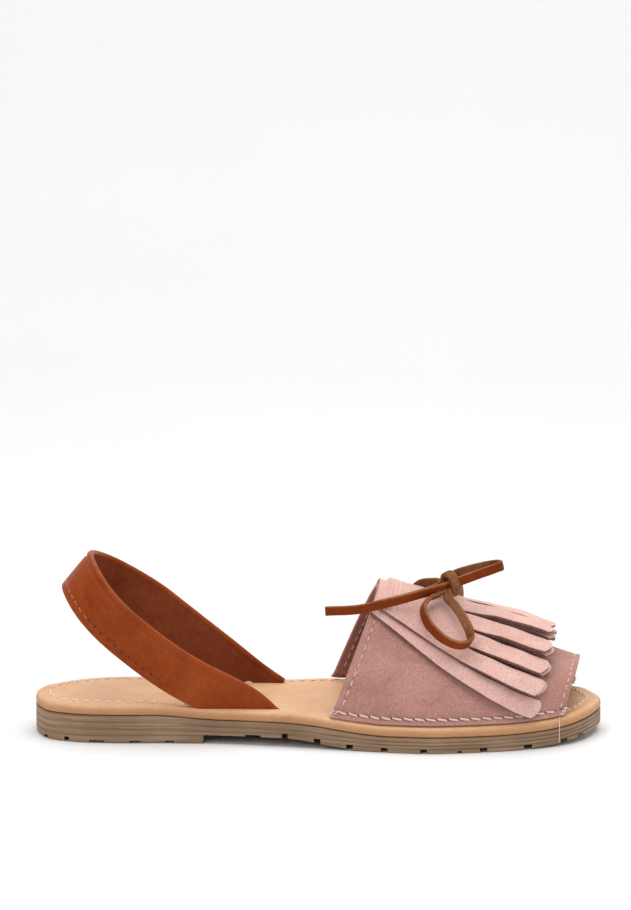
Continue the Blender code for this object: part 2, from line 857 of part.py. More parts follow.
def thong(name, table, steps):
    rows = spline(table, steps)
    path = [over_vamp(*row[:3]) for row in rows]
    bm = band_solid(path, [tuple(row[3:]) for row in rows], LACE_WIDTH, LACE_THICK, False)
    return finish(name, bm, THONG)


def build_knot():
    center = Vector(over_vamp(*KNOT_AT))
    axis = Vector(KNOT_AXIS).normalized()
    side = axis.cross(Vector((0, 0, 1))).normalized()
    up = side.cross(axis)
    bm = bmesh.new()
    loops = []
    for along, out in KNOT_ROWS:
        spot = center + axis * (along * LACE_WIDTH)
        if out == 0.0:
            loops.append([bm.verts.new(spot)])
            continue
        ring = []
        for k in range(20):
            turn = 2 * math.pi * k / 20
            swing_to = side * math.cos(turn) + up * math.sin(turn)
            ring.append(bm.verts.new(spot + swing_to * (out * KNOT_RADIUS)))
        loops.append(ring)
    for low, high in zip(loops[:-1], loops[1:]):
        for k in range(20):
            m = (k + 1) % 20
            corners = []
            for v in (low[k % len(low)], low[m % len(low)], high[m % len(high)], high[k % len(high)]):
                if v not in corners:
                    corners.append(v)
            if len(corners) > 2:
                bm.faces.new(corners)
    return finish("lace_knot", bm, THONG)


build_outsole()
BED = build_footbed()
build_vamp()
kiltie_layer("kiltie_under", 0, 8, FIT_GAP + 0.0002, 0.82, 0.016, 0.006)
kiltie_layer("kiltie_top", 1, 7, 2 * FIT_GAP + KILTIE_THICK + 0.0002, 1.0, 0.0, 0.0)
build_strap(BED)
thong("lace_crossing", CROSSING, 3)
build_knot()
thong("lace_end_back", TAIL_PATH, 5)
thong("lace_end_far", FAR_END, 4)
thong("lace_loop_front", FRONT_LOOP, 4)
thong("lace_loop_near", NEAR_LOOP, 3)
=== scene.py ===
"""Looks of the flat sandal: suede, leathers, thread, rubber, camera and light.

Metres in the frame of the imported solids: +X to the toe, -Y lateral, +Z up. The outsole
and the footbed keep their solids. The upper, the fringe, the strap and the lace are
replaced by finer meshes that follow the same tables.
"""
import math

import bmesh
import bpy
import numpy as np
from mathutils import Matrix, Vector


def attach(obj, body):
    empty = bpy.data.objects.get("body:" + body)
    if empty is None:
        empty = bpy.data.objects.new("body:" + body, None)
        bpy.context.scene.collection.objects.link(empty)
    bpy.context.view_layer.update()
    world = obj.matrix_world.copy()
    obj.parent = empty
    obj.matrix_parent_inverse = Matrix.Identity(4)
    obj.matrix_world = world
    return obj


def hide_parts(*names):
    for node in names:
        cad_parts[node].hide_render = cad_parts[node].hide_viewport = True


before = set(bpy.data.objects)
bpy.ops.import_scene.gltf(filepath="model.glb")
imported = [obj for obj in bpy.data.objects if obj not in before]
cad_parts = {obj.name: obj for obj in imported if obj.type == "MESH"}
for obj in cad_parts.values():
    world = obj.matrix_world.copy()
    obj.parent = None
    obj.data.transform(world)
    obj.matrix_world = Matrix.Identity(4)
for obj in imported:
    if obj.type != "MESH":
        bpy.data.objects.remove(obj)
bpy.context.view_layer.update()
ROOT = "root"

# Sole and footbed
SOLE_LENGTH = 0.2555
BALL_WIDTH = 0.0950
HEEL_WIDTH = 0.0620
HEEL_HEIGHT = 0.0125
WAIST_HEIGHT = 0.0107
FORE_HEIGHT = 0.0070
TOE_SPRING = 0.0034
FOOTBED_THICK = 0.0046
FIT_GAP = 0.0003

# Vamp
VAMP_THICK = 0.0018
VAMP_INSET = 0.0020
VAMP_BACK = 0.1350
VAMP_FRONT = 0.2385
THROAT_RISE = 0.0513
FRONT_RISE = 0.0190

# Kiltie
KILTIE_THICK = 0.0014
KILTIE_REACH = 0.86
KILTIE_LIFT = 0.0067
SLIT_WIDTH = 0.0010

# Heel strap
STRAP_WIDTH = 0.0205
STRAP_THICK = 0.0030
STRAP_SPREAD = 0.0530
STRAP_REACH = 0.0755
STRAP_RISE = 0.0573
STRAP_FOOT = 0.0950
STRAP_SUNK = 0.0032

# Lace
LACE_WIDTH = 0.0042
LACE_THICK = 0.0018
BOW_RISE = 0.0100
STATIONS = 72


def pchip(knots, values, x):
    """Cubic through the knots without overshoot."""
    k = np.asarray(knots, float)
    v = np.asarray(values, float)
    h = np.diff(k)
    d = np.diff(v) / h
    m = np.zeros(len(k))
    for i in range(1, len(k) - 1):
        if d[i - 1] * d[i] > 0:
            a = 2 * h[i] + h[i - 1]
            b = h[i] + 2 * h[i - 1]
            m[i] = (a + b) / (a / d[i - 1] + b / d[i])
    m[0] = d[0]
    m[-1] = d[-1]
    x = np.clip(np.asarray(x, float), k[0], k[-1])
    i = np.clip(np.searchsorted(k, x, side="right") - 1, 0, len(k) - 2)
    t = (x - k[i]) / h[i]
    t2 = t * t
    t3 = t2 * t
    return ((2 * t3 - 3 * t2 + 1) * v[i] + (t3 - 2 * t2 + t) * h[i] * m[i]
            + (3 * t2 - 2 * t3) * v[i + 1] + (t3 - t2) * h[i] * m[i + 1])


def column(table, number):
    return [row[number] for row in table]


# Outline of the sole: along is the share of SOLE_LENGTH from the heel, the sides are
# shares of the local width (HEEL_WIDTH at the heel, BALL_WIDTH from the ball on).
OUTLINE = (
    # along, lateral, medial
    (0.000, 0.070, -0.070),
    (0.010, 0.285, 0.105),
    (0.030, 0.432, 0.205),
    (0.060, 0.500, 0.305),
    (0.100, 0.545, 0.392),
    (0.160, 0.555, 0.437),
    (0.240, 0.536, 0.444),
    (0.320, 0.532, 0.450),
    (0.400, 0.501, 0.430),
    (0.460, 0.470, 0.436),
    (0.520, 0.455, 0.474),
    (0.580, 0.462, 0.490),
    (0.640, 0.486, 0.496),
    (0.700, 0.499, 0.499),
    (0.760, 0.476, 0.494),
    (0.820, 0.437, 0.478),
    (0.880, 0.380, 0.450),
    (0.920, 0.324, 0.417),
    (0.950, 0.257, 0.372),
    (0.975, 0.163, 0.289),
    (0.990, 0.069, 0.177),
    (1.000, -0.058, 0.058),
)

# Top of the outsole: each height is a share of the size named in the second column.
TOP_LINE = (
    # along, size, share
    (0.000, "heel", 1.000),
    (0.220, "heel", 1.000),
    (0.305, "heel", 0.875),
    (0.330, "waist", 1.000),
    (0.450, "waist", 0.990),
    (0.490, "waist", 0.945),
    (0.535, "waist", 0.830),
    (0.580, "waist", 0.712),
    (0.620, "fore", 1.000),
    (0.825, "fore", 1.000),
    (0.895, "spring", 0.190),
    (0.930, "spring", 0.380),
    (0.955, "spring", 0.590),
    (0.980, "spring", 0.820),
    (1.000, "spring", 1.000),
)


def along_of(x):
    return np.clip(np.asarray(x, float) / SOLE_LENGTH + 0.5, 0.0, 1.0)


def x_of(along):
    return (np.asarray(along, float) - 0.5) * SOLE_LENGTH


def swing(along):
    """Angle measure of a station, which keeps the round ends smooth."""
    return np.arccos(1 - 2 * np.clip(np.asarray(along, float), 0.0, 1.0)) / math.pi


def local_width(along):
    t = np.clip((np.asarray(along, float) - 0.30) / 0.30, 0.0, 1.0)
    t = t * t * (3 - 2 * t)
    return HEEL_WIDTH + (BALL_WIDTH - HEEL_WIDTH) * t


def side_y(side, along):
    """y of the outline: side 0 lateral (negative y), side 1 medial."""
    knots = swing(column(OUTLINE, 0))
    share = pchip(knots, column(OUTLINE, 1 + side), swing(along))
    return share * local_width(along) * (1 if side else -1)


def top_z(along):
    """Top of the outsole."""
    heights = []
    for row in TOP_LINE:
        if row[1] == "heel":
            heights.append(row[2] * HEEL_HEIGHT)
        elif row[1] == "waist":
            heights.append(row[2] * WAIST_HEIGHT)
        elif row[1] == "fore":
            heights.append(row[2] * FORE_HEIGHT)
        else:
            heights.append(FORE_HEIGHT + row[2] * TOE_SPRING)
    return pchip(column(TOP_LINE, 0), heights, along)


def bed_z(along):
    """Top of the footbed."""
    return top_z(along) + FIT_GAP + FOOTBED_THICK


def outline_ring(inset):
    """Closed ring of (x, y): lateral side heel to toe, then medial side back."""
    u = np.linspace(0.0, 1.0, STATIONS + 1)
    along = (1 - np.cos(math.pi * u)) / 2
    lateral = np.stack([x_of(along), side_y(0, along)], 1)
    medial = np.stack([x_of(along), side_y(1, along)], 1)[::-1]
    ring = np.concatenate([lateral[:-1], medial[:-1]])
    ahead = np.roll(ring, -1, 0) - np.roll(ring, 1, 0)
    normal = np.stack([-ahead[:, 1], ahead[:, 0]], 1)
    normal /= np.linalg.norm(normal, axis=1)[:, None]
    return ring + normal * inset


# Vamp: sections that lean forward. run is the share between the back and front edges.
VAMP_LINE = (
    # run, rise, lean, ridge, lateral_power, medial_power
    (0.00, 1.000, 0.410, 0.045, 1.70, 2.10),
    (0.18, 0.905, 0.400, 0.050, 1.72, 2.10),
    (0.36, 0.730, 0.385, 0.055, 1.75, 2.10),
    (0.48, 0.600, 0.370, 0.060, 1.80, 2.10),
    (0.63, 0.430, 0.350, 0.065, 1.85, 2.10),
    (0.72, 0.325, 0.330, 0.070, 1.90, 2.10),
    (0.88, 0.120, 0.290, 0.070, 2.00, 2.10),
    (1.00, 0.000, 0.250, 0.070, 2.05, 2.10),
)


SECTIONS = {}


def vamp_section(run):
    """Sizes of the leaning section at this run."""
    key = round(float(run), 6)
    if key not in SECTIONS:
        SECTIONS[key] = new_section(key)
    return SECTIONS[key]


def new_section(run):
    v = [float(pchip(column(VAMP_LINE, 0), column(VAMP_LINE, n), run)) for n in range(1, 6)]
    rise, lean, ridge, p_lat, p_med = v
    back = VAMP_BACK / SOLE_LENGTH
    front = VAMP_FRONT / SOLE_LENGTH
    lat = back + (front - back) * run
    med = back - 0.012 + (front - back + 0.030) * run
    y_lat = float(side_y(0, lat)) + VAMP_INSET
    y_med = float(side_y(1, med)) - VAMP_INSET
    mid = ridge * BALL_WIDTH
    return {
        "lat": lat, "med": med, "lean": lean, "mid": mid,
        "wide": (mid - y_lat, y_med - mid),
        "high": FRONT_RISE + rise * (THROAT_RISE - FRONT_RISE),
        "power": (p_lat, p_med),
        "base": (float(bed_z(lat)), float(bed_z(med))),
    }


def section_point(s, phi, out):
    """Point of a section at angle phi (0 lateral foot, pi medial foot), grown by out."""
    side = 0 if phi <= math.pi / 2 else 1
    power = 2.0 / s["power"][side]
    c = max(abs(math.cos(phi)), 0.0) ** power
    v = max(math.sin(phi), 0.0) ** power
    w = s["wide"][side] + out
    y = s["mid"] + (w * c if side else -w * c)
    rise = (s["high"] + out) * v
    blend = 0.5 * (1 - math.cos(phi))
    along = s["lat"] + (s["med"] - s["lat"]) * blend
    base = s["base"][0] * (1 - blend) + s["base"][1] * blend
    return (float(x_of(along)) + s["lean"] * rise, y, base + FIT_GAP + rise)


ARCS = {}


def section_angles(s, shares):
    """Angles that stand at these shares of the section's arc."""
    key = (round(s["lat"], 5), round(s["high"], 6))
    if key not in ARCS:
        phis = np.linspace(0.0, math.pi, 121)
        pts = np.array([section_point(s, p, 0.0) for p in phis])
        steps = np.linalg.norm(np.diff(pts, axis=0), axis=1)
        run = np.concatenate([[0.0], np.cumsum(steps)])
        ARCS[key] = (phis, run / run[-1], float(run[-1]))
    phis, run, length = ARCS[key]
    return np.interp(np.asarray(shares), run, phis)


def section_length(sec):
    section_angles(sec, [0.5])
    return ARCS[(round(sec["lat"], 5), round(sec["high"], 6))][2]


# Kiltie: straight lines from the throat to the tips. base and tip are shares of the arc.
KILTIE_LINES = (
    # base, tip
    (0.348, 0.012),
    (0.366, 0.100),
    (0.380, 0.196),
    (0.408, 0.300),
    (0.432, 0.420),
    (0.480, 0.540),
    (0.512, 0.652),
    (0.540, 0.757),
    (0.560, 0.857),
    (0.580, 0.945),
)

# One row for each strip, lateral to medial: share of KILTIE_LIFT at the tip, where the
# tip ends as a share of KILTIE_REACH, and which edge curls up (1 lateral, -1 medial).
STRIPS = (
    # lift, tip, curl
    (0.06, 1.010, 1.0),
    (0.20, 1.010, 1.0),
    (0.37, 1.005, 1.0),
    (0.66, 0.995, 1.0),
    (1.00, 0.985, 1.0),
    (0.92, 0.990, -1.0),
    (0.62, 0.995, -1.0),
    (0.34, 1.000, -1.0),
    (0.10, 1.000, -1.0),
)

# Where the slit between two strips starts, as a run.
SLIT_STARTS = (0.44, 0.46, 0.44, 0.39, 0.40, 0.44, 0.46, 0.44)

# Shape of a tip: share across the strip, how far it ends before the tip (run).
TIP_SHAPE = (
    # across, back
    (0.00, 0.034),
    (0.22, 0.014),
    (0.50, 0.001),
    (0.78, 0.000),
    (1.00, 0.014),
)


def kiltie_share(line, run):
    base, tip = KILTIE_LINES[line]
    return base + (tip - base) * run / KILTIE_REACH


def kiltie_rise(strip, across, run):
    """Lift of the layer above its seat on the vamp, before the shares of a layer."""
    grow = min(max((run - 0.16) / (KILTIE_REACH - 0.16), 0.0), 1.2) ** 0.9
    centers = [i + 0.5 for i in range(len(STRIPS))]
    lifts = column(STRIPS, 0)
    here = float(pchip(centers, lifts, strip + across))
    own = lifts[strip]
    near = [SLIT_STARTS[k] for k in (strip - 1, strip) if 0 <= k < len(SLIT_STARTS)]
    free = min(max((run - max(near)) / 0.16, 0.0), 1.0)
    curl = STRIPS[strip][2] * (1 - 2 * across) * 0.09
    return KILTIE_LIFT * grow * (own + (here - own) * (1 - free) + curl * free)


# Heel strap, from inside the lateral slit round the heel to inside the medial one.
STRAP_PATH = (
    # reach, side, rise, tilt: shares of STRAP_REACH, half STRAP_SPREAD and STRAP_RISE;
    # tilt is how far the width leans to the toe, in degrees
    (-0.140, -1.000, -0.150, 38.0),
    (0.000, -1.000, 0.010, 38.0),
    (0.266, -1.070, 0.198, 34.0),
    (0.416, -1.095, 0.318, 35.0),
    (0.557, -1.095, 0.450, 38.0),
    (0.733, -1.020, 0.630, 41.0),
    (0.862, -0.830, 0.785, 44.0),
    (0.955, -0.500, 0.925, 42.0),
    (1.000, -0.040, 1.000, 39.0),
    (0.958, 0.440, 0.955, 38.0),
    (0.834, 0.860, 0.838, 38.0),
    (0.628, 1.060, 0.655, 38.0),
    (0.458, 1.085, 0.480, 38.0),
    (0.337, 1.075, 0.355, 38.0),
    (0.166, 1.040, 0.182, 38.0),
    (0.000, 1.000, 0.010, 38.0),
    (-0.140, 1.000, -0.120, 38.0),
)


def spline(points, steps):
    """Centripetal curve through the points."""
    p = np.asarray(points, float)
    p = np.vstack([2 * p[0] - p[1], p, 2 * p[-1] - p[-2]])
    out = []
    for i in range(1, len(p) - 2):
        for k in range(steps):
            t = k / steps
            a, b, c, d = p[i - 1], p[i], p[i + 1], p[i + 2]
            out.append(0.5 * (2 * b + (c - a) * t + (2 * a - 5 * b + 4 * c - d) * t * t
                              + (3 * b - a - 3 * c + d) * t ** 3))
    out.append(p[-2])
    return np.array(out)


def strap_path():
    rows = spline(STRAP_PATH, 4)
    x0 = float(x_of(STRAP_FOOT / SOLE_LENGTH))
    bed = float(bed_z(STRAP_FOOT / SOLE_LENGTH))
    mid = -0.032 * HEEL_WIDTH
    path = []
    widths = []
    for reach, side, rise, tilt in rows:
        path.append((x0 - reach * STRAP_REACH, mid + side * STRAP_SPREAD / 2,
                     bed + rise * STRAP_RISE))
        turn = math.radians(tilt)
        widths.append((math.sin(turn), 0.0, math.cos(turn)))
    return path, widths


def over_vamp(run, share, out):
    """Point over the vamp, used for the bow."""
    sec = vamp_section(run)
    phi = float(section_angles(sec, [share])[0])
    return section_point(sec, phi, out * BOW_RISE)


# Camera at the photograph's angle: 9.5 degrees down, turned 3 degrees towards the toe
CAMERA_AT = (0.0917, -1.7735, 0.4228)
CAMERA_DOWN = math.radians(9.5)
CAMERA_TURN = math.radians(3.0)


def make_camera():
    data = bpy.data.cameras.new("photo_camera")
    data.sensor_fit = "VERTICAL"
    data.sensor_height = 36.0
    data.lens = 158.8
    data.clip_start = 0.05
    data.clip_end = 20.0
    cam = bpy.data.objects.new("photo_camera", data)
    bpy.context.scene.collection.objects.link(cam)
    back = Vector((math.sin(CAMERA_TURN) * math.cos(CAMERA_DOWN),
                   -math.cos(CAMERA_TURN) * math.cos(CAMERA_DOWN), math.sin(CAMERA_DOWN)))
    right = Vector((math.cos(CAMERA_TURN), math.sin(CAMERA_TURN), 0.0))
    up = back.cross(right)
    rows = [(*turn, at) for turn, at in zip(zip(right, up, back), CAMERA_AT)]
    cam.matrix_world = Matrix(rows + [(0.0, 0.0, 0.0, 1.0)])
    bpy.context.scene.camera = cam


make_camera()


class Look:
    """A node material built from noise in metres."""

    def __init__(self, name, rough, **sockets):
        self.mat = bpy.data.materials.new(name)
        self.mat.use_nodes = True
        self.nodes = self.mat.node_tree.nodes
        self.links = self.mat.node_tree.links
        self.shader = self.nodes["Principled BSDF"]
        self.shader.inputs["Roughness"].default_value = rough
        for key, value in sockets.items():
            self.shader.inputs[key.replace("_", " ")].default_value = value
        self.where = self.nodes.new("ShaderNodeTexCoord").outputs["Object"]
        self.height = None

    def node(self, kind, socket, value, **numbers):
        """A new node with these inputs set and the value linked into one socket."""
        node = self.nodes.new("ShaderNode" + kind)
        for key, number in numbers.items():
            node.inputs[key.replace("_", " ")].default_value = number
        self.links.new(value, node.inputs[socket])
        return node

    def noise(self, scale, detail=3.0, rough=0.55, warp=0.0, stretch=None):
        where = self.where
        if stretch:
            where = self.node("Mapping", "Vector", where, Scale=stretch).outputs["Vector"]
        return self.node("TexNoise", "Vector", where, Scale=scale, Detail=detail,
                         Roughness=rough, Distortion=warp).outputs[0]

    def cells(self, scale):
        return self.node("TexVoronoi", "Vector", self.where, Scale=scale).outputs["Distance"]

    def ramp(self, value, *stops):
        node = self.node("ValToRGB", "Fac", value)
        ramp = node.color_ramp
        while len(ramp.elements) < len(stops):
            ramp.elements.new(0.5)
        for element, (at, color) in zip(ramp.elements, stops):
            element.position = at
            if isinstance(color, (int, float)):
                color = (color, color, color)
            element.color = (*color, 1.0)
        return node.outputs["Color"]

    def mix(self, share, a, b, kind="MIX"):
        node = self.nodes.new("ShaderNodeMix")
        node.data_type = "RGBA"
        node.blend_type = kind
        node.inputs[0].default_value = share
        self.links.new(a, node.inputs[6])
        self.links.new(b, node.inputs[7])
        return node.outputs[2]

    def color(self, value):
        self.links.new(value, self.shader.inputs["Base Color"])

    def rough(self, value, low, high):
        node = self.node("MapRange", "Value", value, To_Min=low, To_Max=high)
        self.links.new(node.outputs["Result"], self.shader.inputs["Roughness"])

    def bump(self, value, strength, distance):
        node = self.node("Bump", "Height", value, Strength=strength, Distance=distance)
        if self.height is not None:
            self.links.new(self.height, node.inputs["Normal"])
        self.height = node.outputs["Normal"]
        self.links.new(self.height, self.shader.inputs["Normal"])


def suede(name, dark, light, nap=1.0):
    look = Look(name, 0.95, Sheen_Weight=0.35, Sheen_Roughness=0.45,
                Specular_IOR_Level=0.15, Sheen_Tint=(1.0, 0.86, 0.82, 1.0))
    broad = look.noise(38.0, 4.0, 0.6, 0.4, (1.0, 1.0, 1.6))
    fine = look.noise(1150.0, 4.0, 0.7, 0.2, (1.0, 1.0, 1.3))
    tone = look.mix(0.62, broad, fine)
    middle = tuple((a + b) / 2 for a, b in zip(dark, light))
    look.color(look.ramp(tone, (0.39, dark), (0.51, middle), (0.62, light)))
    look.bump(look.noise(140.0, 3.0), 0.25 * nap, 0.0006)
    look.bump(look.noise(1500.0, 5.0, 0.8, 0.3, (0.7, 0.7, 1.4)), 0.75 * nap, 0.00025)
    return look.mat


def leather(name, dark, light, low, high, grain=1.0):
    look = Look(name, 0.5, Specular_IOR_Level=0.2, Specular_Tint=(1.0, 0.62, 0.42, 1.0))
    broad = look.noise(30.0, 5.0, 0.6, 0.6)
    fine = look.noise(420.0, 4.0, 0.7, 0.3)
    look.color(look.ramp(look.mix(0.35, broad, fine), (0.36, dark), (0.64, light)))
    look.rough(look.noise(90.0, 4.0, 0.65, 0.5), low, high)
    look.bump(look.noise(85.0, 4.0, 0.6, 0.8), 0.22 * grain, 0.0005)
    look.bump(look.cells(1300.0), 0.18 * grain, 0.00012)
    look.bump(look.noise(2600.0, 3.0, 0.7), 0.25 * grain, 0.00006)
    return look.mat


def footbed_look():
    look = Look("footbed_leather_look", 0.55, Specular_IOR_Level=0.3)
    broad = look.noise(26.0, 5.0, 0.62, 0.7)
    fine = look.noise(700.0, 4.0, 0.7)
    base = look.ramp(look.mix(0.40, broad, fine), (0.30, (0.54, 0.28, 0.135)),
                     (0.50, (0.66, 0.37, 0.195)), (0.70, (0.76, 0.46, 0.265)))
    specks = look.ramp(look.noise(1600.0, 2.0, 0.6), (0.28, 0.55), (0.38, 1.0))
    scuffs = look.ramp(look.noise(60.0, 6.0, 0.7, 1.4, (0.3, 1.0, 1.0)), (0.30, 0.82), (0.46, 1.0))
    # Faces turned sideways come out darker than the top, through the normal: painted shade on the
    # footbed sides.
    side = look.nodes.new("ShaderNodeNewGeometry").outputs["Normal"]
    split = look.node("SeparateXYZ", 0, side)
    painted_side_shade = look.ramp(split.outputs[2], (0.0, (0.74, 0.66, 0.58)), (0.75, 1.0))
    top = look.mix(0.8, look.mix(0.5, base, specks, "MULTIPLY"), scuffs, "MULTIPLY")
    look.color(look.mix(1.0, top, painted_side_shade, "MULTIPLY"))
    look.rough(look.noise(120.0, 4.0), 0.42, 0.68)
    look.bump(look.noise(120.0, 5.0, 0.6, 0.6), 0.25, 0.0004)
    look.bump(look.noise(1700.0, 4.0, 0.75), 0.35, 0.0001)
    return look.mat


def rubber_look():
    look = Look("outsole_rubber_look", 0.5, Specular_IOR_Level=0.4)
    look.shader.inputs["Subsurface Weight"].default_value = 0.12
    look.shader.inputs["Subsurface Radius"].default_value = (0.9, 0.55, 0.3)
    look.shader.inputs["Subsurface Scale"].default_value = 0.002
    lines = look.noise(60.0, 5.0, 0.7, 0.2, (0.35, 0.35, 22.0))
    broad = look.noise(30.0, 4.0)
    look.color(look.ramp(look.mix(0.6, broad, lines), (0.34, (0.175, 0.102, 0.052)),
                         (0.52, (0.29, 0.185, 0.108)), (0.68, (0.46, 0.33, 0.22))))
    look.rough(lines, 0.38, 0.66)
    look.bump(lines, 0.65, 0.0005)
    look.bump(look.noise(1500.0, 3.0), 0.25, 0.0001)
    return look.mat


def thread_look(name, dark, light):
    look = Look(name, 0.8, Sheen_Weight=0.3, Specular_IOR_Level=0.2)
    twist = look.noise(1600.0, 3.0, 0.6, 0.0, (0.5, 1.0, 1.8))
    look.color(look.ramp(twist, (0.34, dark), (0.66, light)))
    look.bump(twist, 0.6, 0.0003)
    return look.mat


SUEDE = suede("vamp_suede_look", (0.33, 0.155, 0.125), (0.52, 0.275, 0.225))
# Inside face of the vamp: a darker copy of the suede with less nap, partly the back of the suede
# and partly painted shade.
SUEDE_IN = suede("vamp_inside_look", (0.25, 0.105, 0.085), (0.36, 0.165, 0.13), 0.7)
PALE = suede("kiltie_suede_look", (0.56, 0.315, 0.265), (0.80, 0.515, 0.450), 0.9)
# Darker suede for the cut edges, the undersides of the strips and a thin band along their free
# edges: the cut edge's own colour, and painted shade under and along the strips.
RAW_EDGE_AND_SHADE = suede("raw_edge_and_shade_look", (0.125, 0.048, 0.045), (0.27, 0.120, 0.105), 1.3)
GRAIN = leather("strap_leather_look", (0.200, 0.028, 0.0040), (0.32, 0.062, 0.011), 0.28, 0.46)
GRAIN_IN = leather("strap_lining_look", (0.135, 0.026, 0.009), (0.235, 0.056, 0.021), 0.32, 0.52,
                   1.8)
THONG = leather("thong_grain_look", (0.135, 0.018, 0.0025), (0.235, 0.040, 0.006), 0.32, 0.5)
FLESH = leather("thong_flesh_look", (0.085, 0.028, 0.010), (0.30, 0.125, 0.060), 0.85, 0.97, 4.5)
CUT = leather("thong_edge_look", (0.15, 0.048, 0.016), (0.36, 0.150, 0.062), 0.7, 0.9, 1.8)
BED = footbed_look()
RUBBER = rubber_look()
PINK_THREAD = thread_look("pink_thread_look", (0.60, 0.40, 0.35), (0.86, 0.68, 0.62))
BED_THREAD = thread_look("bed_thread_look", (0.74, 0.56, 0.42), (0.95, 0.82, 0.68))
ORANGE_THREAD = thread_look("orange_thread_look", (0.45, 0.11, 0.03), (0.66, 0.22, 0.07))
HOLE = thread_look("needle_hole_look", (0.020, 0.008, 0.006), (0.07, 0.028, 0.02))


def smooth(mesh, sharp):
    mesh.polygons.foreach_set("use_smooth", [True] * len(mesh.polygons))
    mesh.set_sharp_from_angle(angle=math.radians(sharp))


def piece(name, verts, faces, mats, index=None, node=None, sharp=42.0):
    """A mesh object of the visual model that rides on the one body."""
    mesh = bpy.data.meshes.new(name)
    mesh.from_pydata([tuple(v) for v in verts], [], faces)
    for mat in mats:
        mesh.materials.append(mat)
    if index is not None:
        mesh.polygons.foreach_set("material_index", index)
    bm = bmesh.new()
    bm.from_mesh(mesh)
    bmesh.ops.remove_doubles(bm, verts=bm.verts, dist=0.0000015)
    bmesh.ops.recalc_face_normals(bm, faces=bm.faces)
    bm.to_mesh(mesh)
    bm.free()
    smooth(mesh, sharp)
    obj = bpy.data.objects.new(name, mesh)
    bpy.context.scene.collection.objects.link(obj)
    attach(obj, ROOT)
    if node:
        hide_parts(node)
    return obj


def dress(node, mat, sharp):
    """Better material and shading on a CAD solid that stays."""
    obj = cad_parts[node]
    obj.data.materials.clear()
    obj.data.materials.append(mat)
    smooth(obj.data, sharp)


dress("outsole", RUBBER, 48.0)
dress("footbed", BED, 32.0)


class Bits:
    """Many small things joined in one mesh."""

    def __init__(self):
        self.verts = []
        self.faces = []

    def tube(self, points, radii, sides=7):
        points = [Vector(p) for p in points]
        start = len(self.verts)
        for i, p in enumerate(points):
            a = points[max(i - 1, 0)]
            b = points[min(i + 1, len(points) - 1)]
            along = (b - a).normalized()
            side = along.orthogonal().normalized()
            up = along.cross(side)
            for k in range(sides):
                turn = 2 * math.pi * k / sides
                self.verts.append(p + (side * math.cos(turn) + up * math.sin(turn)) * radii[i])
        for i in range(len(points) - 1):
            for k in range(sides):
                m = (k + 1) % sides
                a = start + i * sides
                self.faces.append((a + k, a + m, a + sides + m, a + sides + k))
        self.faces.append(tuple(start + k for k in range(sides)))
        last = start + (len(points) - 1) * sides
        self.faces.append(tuple(last + k for k in range(sides)))

    def disc(self, at, normal, radius, long=1.0, toward=None):
        normal = Vector(normal).normalized()
        side = Vector(toward) if toward is not None else normal.orthogonal()
        side = (side - normal * side.dot(normal)).normalized()
        up = normal.cross(side)
        start = len(self.verts)
        for k in range(9):
            turn = 2 * math.pi * k / 9
            self.verts.append(Vector(at) + side * math.cos(turn) * radius * long
                              + up * math.sin(turn) * radius)
        self.faces.append(tuple(range(start, start + 9)))

    def fibre(self, at, way, width):
        way = Vector(way)
        side = way.orthogonal().normalized() * width
        start = len(self.verts)
        at = Vector(at)
        self.verts += [at - side, at + side, at + way]
        self.faces.append((start, start + 1, start + 2))

    def make(self, name, mat):
        piece(name, self.verts, self.faces, [mat], sharp=60.0)


def walk(points, normals):
    """Place and normal at a length along a line."""
    points = np.asarray(points, float)
    normals = np.asarray(normals, float)
    steps = np.linalg.norm(np.diff(points, axis=0), axis=1)
    run = np.concatenate([[0.0], np.cumsum(steps)])

    def at(length):
        p = np.array([np.interp(length, run, points[:, k]) for k in range(3)])
        n = np.array([np.interp(length, run, normals[:, k]) for k in range(3)])
        return p, n / max(np.linalg.norm(n), 1e-9)

    return at, float(run[-1])


def stitches(bits, holes, line, pitch, dash, radius, lift, slant, start, stop=None,
             hole=0.0003):
    at, total = walk(*line)
    stop = total if stop is None else stop
    place = start
    while place + dash <= stop:
        pts = []
        for share, sink in ((0.0, -0.9), (0.12, 0.05), (0.32, 0.7), (0.5, 1.0), (0.68, 0.7),
                            (0.88, 0.05), (1.0, -0.9)):
            p, n = at(place + dash * share)
            q, _ = at(place + dash * share + 0.0002)
            cross = np.cross(n, q - p)
            cross /= max(np.linalg.norm(cross), 1e-9)
            pts.append(p + n * sink * radius * lift + cross * (0.5 - share) * slant)
        bits.tube(pts, [radius * k for k in (0.5, 0.85, 1.0, 1.0, 1.0, 0.85, 0.5)])
        if holes is not None:
            for end, far in ((0, -1), (6, 1)):
                p, n = at(place + (dash if end else 0.0) + far * radius * 0.6)
                holes.disc(p + n * 0.00004, n, hole)
        place += pitch


def out_line(run_of, share_of, out, count=90):
    """A line over the vamp with the outward direction at each point."""
    pts = []
    ways = []
    for t in np.linspace(0.0, 1.0, count):
        sec = vamp_section(run_of(t))
        share = share_of(t, sec)
        phi = float(section_angles(sec, [share])[0])
        a = np.array(section_point(sec, phi, out))
        b = np.array(section_point(sec, phi, out + 0.001))
        pts.append(a)
        ways.append((b - a) / np.linalg.norm(b - a))
    return pts, ways


def bell(value, at, width):
    return math.exp(-((value - at) / width) ** 2)


# Seams of the upper: distances from its back, front and lower edges, pitch and stitch
VAMP_LONG = VAMP_FRONT - VAMP_BACK
HEM_BACK = 0.0033
HEM_FRONT = 0.0023
HEM_PITCH = 0.0045
HEM_DASH = 0.0031
THREAD_RISE = 0.0030
SOLE_PITCH = 0.0050
SOLE_DASH = 0.0046


